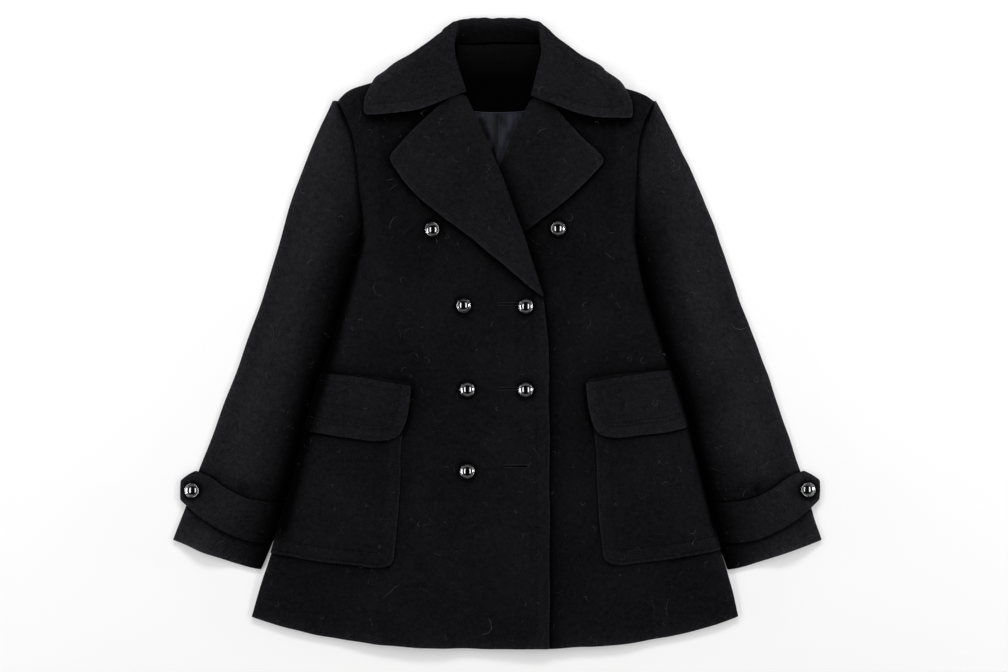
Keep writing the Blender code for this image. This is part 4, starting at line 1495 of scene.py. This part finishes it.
class COAT_OT_hollows(CoatStep):
    """Paint shade into the nap's colour where little light reaches it, in the hollows, below proud
    edges and in the cleft, and a highlight at its outline
    """

    bl_idname = "coat.hollows"
    bl_label = "Hollows"

    def execute(self, context):
        corner, heights = relief(*surface_under(WOOL_PIECES))
        for name in WOOL_PIECES:
            mesh = bpy.data.objects[name].data
            points = points_of(mesh)
            # The same extra height for the painted shadow is given to the pieces' own points.
            points[:, 2] += SHADOW_RAISE.get(name, 0.0)
            shade = np.clip(open_sky(points, corner, heights), SHADE_LEAST, 1) ** SHADE_POWER
            opens = ramp(points[:, 1], *ARMHOLE_OPENS) * (np.abs(points[:, 0]) > ARMHOLE_OUT)
            shade **= 1 - ARMHOLE_LIGHT * opens
            shade *= below_edges(points, corner, heights)
            if "upper_sleeve" in name:
                shade *= below_edges(points, corner, heights, STRAP_TURNS)
            if "lapel" in name:
                shade **= 1 - GORGE_LIGHT * self.sewn_to_the_collar(points)
            if name == "under_front":
                shade *= self.beside_the_free_edge(points)
            if name == "coat_collar":
                shade *= self.in_the_neck(points)
            elif name != "back_panel":
                shade *= self.in_the_cleft(points, "sleeve" in name or "strap" in name)
                shade *= self.around_buttons(points)
            shade *= self.rim_highlight(points, corner, heights)
            shade[rises_of(mesh) < -FACES_UP] = 1.0
            write_values(mesh, SHADE, shade)
        for side in ("right", "left"):
            mesh = bpy.data.objects["under_sleeve_" + side].data
            write_values(mesh, SHADE, np.ones(len(mesh.vertices)))
        return {"FINISHED"}

    def in_the_cleft(self, points, on_sleeve):
        """Share of light left by the shade painted beside the edge where body and sleeve meet."""
        steps, right, left = (np.array(column) for column in zip(*BODY_SIDE))
        y = points[:, 1]
        side = np.where(points[:, 0] < 0, -np.interp(y, steps, right), np.interp(y, steps, left))
        (low, high), (fades_in, fades_out) = CLEFT_Y, CLEFT_FADES
        along = ramp(y, high, high - fades_out)
        if on_sleeve:
            beyond = np.abs(points[:, 0]) - side
            width, dark = np.interp(y, *zip(*CLEFT_SLEEVE)), CLEFT_SLEEVE_DARK
        else:
            along *= ramp(y, low, low + fades_in)
            dark = CLEFT_BODY_DARK
            rows = CLEFT_BODY["right" if points[:, 0].mean() < 0 else "left"]
            steps, flat, width = (np.array(column) for column in zip(*rows))
            beyond = side - np.abs(points[:, 0]) - np.interp(y, steps, flat)
            width = np.interp(y, steps, width)
        return 1 - dark * along * bell(np.maximum(beyond, 0), width)

    def beside_the_free_edge(self, points):
        """Share of light left by the shadow painted on the front below, beside the edge of the one on
        top.
        """
        steps, places = (np.array(column) for column in zip(*FREE_EDGE))
        beyond = points[:, 0] - np.interp(points[:, 1], steps, places)
        below = ramp(points[:, 1], steps[-1], steps[-1] - FREE_EDGE_FADES)
        return 1 - FREE_EDGE_DARK * below * np.exp(-np.maximum(beyond, 0) / FREE_EDGE_REACH)

    def around_buttons(self, points):
        """Share of light left by the shadow painted on the cloth around each button."""
        share = np.ones(len(points))
        for node in BUTTON_NODES:
            low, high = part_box(node)
            middle, radius = (low + high) / 2, (high.x - low.x) / 2
            far = np.hypot(points[:, 0] - middle.x, points[:, 1] - middle.y) - radius
            share *= 1 - RING_DARK * bell(np.maximum(far, 0), RING_WIDTH)
        return share

    def rim_highlight(self, points, corner, heights):
        """How much brighter the nap is painted at the outline of the coat, as a highlight."""
        bare = heights < 0.5 * MM
        beside = np.zeros_like(bare)
        for axis in (0, 1):
            for shift in (-1, 1):
                beside |= np.roll(~bare, shift, axis)
        cells = np.argwhere(bare & beside)
        tree = KDTree(len(cells))
        for i, cell in enumerate(cells):
            tree.insert((*(corner + (cell + 0.5) * RELIEF_CELL), 0), i)
        tree.balance()
        far = np.array([tree.find((p[0], p[1], 0))[2] for p in points])
        return 1 + RIM_HIGHLIGHT * np.exp(-far / RIM_HIGHLIGHT_REACH)

    def sewn_to_the_collar(self, points):
        """1 on the top of a lapel, where the collar is sewn on, and 0 away from it."""
        inner, outer = GORGE_ENDS
        across = ramp(np.abs(points[:, 0]), outer, inner)
        return across * ramp(points[:, 1], *GORGE_STARTS)

    def in_the_neck(self, points):
        """Share of light left by the shade painted on the inner side of the stand, and 1 on the rest
        of the collar.
        """
        away = np.abs(points[:, 0] - NECK_MIDDLE)
        inside = ramp(away, STAND_HALF, STAND_HALF - STAND_FADES) * ramp(points[:, 1], *STAND_FOOT)
        return 1 - (1 - STAND_SHADE) * ramp(points[:, 1], *STAND_DARKENS) * inside


class COAT_OT_lint(CoatStep):
    """Scatter the pale loose fibres that the wool has caught"""

    bl_idname = "coat.lint"
    bl_label = "Loose fibres"

    def execute(self, context):
        lint = settings(context).lint
        dice = random.Random(23)
        tree, _ = surface_under(WOOL_PIECES)
        low, high = CAD_BOX
        lines = []
        while len(lines) < lint.count:
            x, y = dice.uniform(low[0], high[0]), dice.uniform(low[1], high[1])
            line = self.hair(tree, x, y, dice)
            if line:
                lines.append(line)
        threads("loose_fibres", lines, lint.thickness, lint_material())
        return {"FINISHED"}

    def hair(self, tree, x, y, dice):
        """One curled fibre that follows the cloth, or nothing where it would leave it."""
        length = min(0.030, dice.lognormvariate(math.log(0.0085), 0.60))
        heading = dice.uniform(0, 2 * math.pi)
        curl = dice.gauss(0, 3.0) / length
        weight = 0.30 + 1.25 * dice.random() ** 3.0
        step = length / (FIBRE_POINTS - 1)
        line, last = [], None
        for k in range(FIBRE_POINTS):
            place, normal, _ = drop(tree, x, y)
            if place is None or normal.z < FIBRE_LEVEL or (last and abs(place.z - last) > FIBRE_STEP):
                return None
            last = place.z
            end = math.sin(math.pi * (k + 0.35) / (FIBRE_POINTS - 0.3))
            line.append((place + normal * (0.0001 + 0.0003 * end), weight * (0.4 + 0.6 * end)))
            x += math.cos(heading) * step
            y += math.sin(heading) * step
            heading += curl * step + dice.gauss(0, 0.12)
        return line


# ----------------------------------------------------------------------------- the studio


class COAT_OT_studio(CoatStep):
    """Set the table, the lamps, the surroundings and the camera"""

    bl_idname = "coat.studio"
    bl_label = "Studio"

    def execute(self, context):
        studio = settings(context).studio
        scene = context.scene
        scene.view_settings.view_transform = "Standard"
        middle = (CAD_BOX[0] + CAD_BOX[1]) / 2
        middle.z = 0
        self.floor(studio)
        self.surroundings(scene)
        self.dark_ceiling()
        for name, place, across, along, power, mirrored in LAMPS:
            lamp = self.lamp(name, Vector(place), middle, across, along, power)
            lamp.visible_glossy = mirrored
        camera = bpy.data.cameras.new("camera")
        distance = studio.camera_height - CLOTH_HEIGHT
        camera.lens = camera.sensor_width * distance / studio.view_width
        camera.clip_end = 20
        scene.camera = link("camera", camera)
        scene.camera.location = (*CAMERA_XY, studio.camera_height)
        return {"FINISHED"}

    def floor(self, studio):
        """The pale table, which glows a little beside the coat but not under it."""
        made, tree, shader = new_material("Pale table", tuple(studio.floor))
        place = add(tree, "ShaderNodeSeparateXYZ", {"Vector": place_on(tree)}).outputs
        beside, beyond = (
            spread(tree, sums(tree, "ABSOLUTE", place[axis], 0), half, half + UNDER_COAT_EDGE)
            for axis, half in zip("XY", UNDER_COAT))
        glow = times(tree, sums(tree, "MAXIMUM", beside, beyond), TABLE_GLOW)
        feed(tree, shader, {
            "Base Color": (*studio.floor, 1), "Roughness": 0.9, "Specular IOR Level": 0.0,
            "Emission Color": (1, 1, 1, 1),
            "Emission Strength": times(tree, seen_white(tree), glow)})
        self.level_square("floor", *TABLE, made)

    def dark_ceiling(self):
        """The unlit room above the lamps, which only shows as a reflection."""
        made, tree, shader = new_material("Dark ceiling", (0.02, 0.02, 0.02))
        feed(tree, shader, {
            "Base Color": (0.02, 0.02, 0.02, 1), "Roughness": 1.0, "Specular IOR Level": 0.0})
        ceiling = self.level_square("ceiling", *CEILING, made)
        for seen in ("camera", "diffuse", "transmission", "volume_scatter", "shadow"):
            setattr(ceiling, "visible_" + seen, False)

    def level_square(self, name, half, height, material):
        """A wide level plane of the studio."""
        bm = bmesh.new()
        bmesh.ops.create_grid(bm, x_segments=1, y_segments=1, size=half)
        bmesh.ops.translate(bm, vec=(0, 0, height), verts=bm.verts)
        mesh = bpy.data.meshes.new(name)
        bm.to_mesh(mesh)
        bm.free()
        mesh.materials.append(material)
        made = link(name, mesh)
        return made

    def surroundings(self, scene):
        """White to the camera, and a weak even light to everything else."""
        world = bpy.data.worlds.new("studio")
        scene.world = world
        world.use_nodes = True
        tree = world.node_tree
        tree.nodes.clear()
        path = add(tree, "ShaderNodeLightPath")
        mirrored = times(tree, path.outputs["Is Glossy Ray"], ROOM_MIRRORED)
        lit = sums(tree, "ADD", mirrored, ROOM_LIGHT)
        strength = sums(tree, "MAXIMUM", path.outputs["Is Camera Ray"], lit)
        light = add(tree, "ShaderNodeBackground", {"Color": (1, 1, 1, 1), "Strength": strength})
        add(tree, "ShaderNodeOutputWorld", {"Surface": light.outputs[0]})

    def lamp(self, name, place, target, across, along, power):
        """A rectangular lamp that faces its target."""
        data = bpy.data.lights.new(name, "AREA")
        data.shape = "RECTANGLE"
        data.size, data.size_y = across, along
        data.energy = power
        made = link(name, data)
        made.location = place
        made.rotation_euler = (target - place).to_track_quat("-Z", "Y").to_euler()
        return made


def seen_white(tree):
    """1 for rays from the camera and for reflections, 0 for light."""
    path = add(tree, "ShaderNodeLightPath").outputs
    seen = sums(tree, "MAXIMUM", path["Is Camera Ray"], path["Is Glossy Ray"])
    return sums(tree, "MAXIMUM", seen, path["Is Transmission Ray"])


# ----------------------------------------------------------------------------- the add-on


class CoatSettings(bpy.types.PropertyGroup):
    """Everything a user can change on the coat."""

    cloth: PointerProperty(type=CoatCloth)
    thread: PointerProperty(type=CoatThread)
    buttons: PointerProperty(type=CoatButtons)
    lint: PointerProperty(type=CoatLint)
    studio: PointerProperty(type=CoatStudio)


STEPS = (
    COAT_OT_back, COAT_OT_fronts, COAT_OT_sleeves, COAT_OT_cuff_straps, COAT_OT_pockets,
    COAT_OT_lapels, COAT_OT_neck, COAT_OT_collar, COAT_OT_stitching, COAT_OT_buttonholes,
    COAT_OT_buttons, COAT_OT_hollows, COAT_OT_lint, COAT_OT_studio,
)


class COAT_PT_panel(bpy.types.Panel):
    """The steps and sizes of the coat in the sidebar"""

    bl_idname = "COAT_PT_panel"
    bl_label = "Overcoat"
    bl_space_type = "VIEW_3D"
    bl_region_type = "UI"
    bl_category = "Overcoat"

    def draw(self, context):
        for step in STEPS:
            self.layout.operator(step.bl_idname)
        coat = settings(context)
        for group in (coat.cloth, coat.thread, coat.buttons, coat.lint, coat.studio):
            box = self.layout.box()
            for name in group.bl_rna.properties.keys():
                if name not in {"rna_type", "name"}:
                    box.prop(group, name)


CLASSES = (
    CoatCloth, CoatThread, CoatButtons, CoatLint, CoatStudio, CoatSettings, *STEPS, COAT_PT_panel,
)


def register():
    for made in CLASSES:
        bpy.utils.register_class(made)
    bpy.types.Scene.coat = PointerProperty(type=CoatSettings)


def unregister():
    del bpy.types.Scene.coat
    for made in reversed(CLASSES):
        bpy.utils.unregister_class(made)


def main():
    register()
    for step in STEPS:
        getattr(bpy.ops.coat, step.bl_idname.split(".")[1])()


if __name__ == "__main__":
    main()
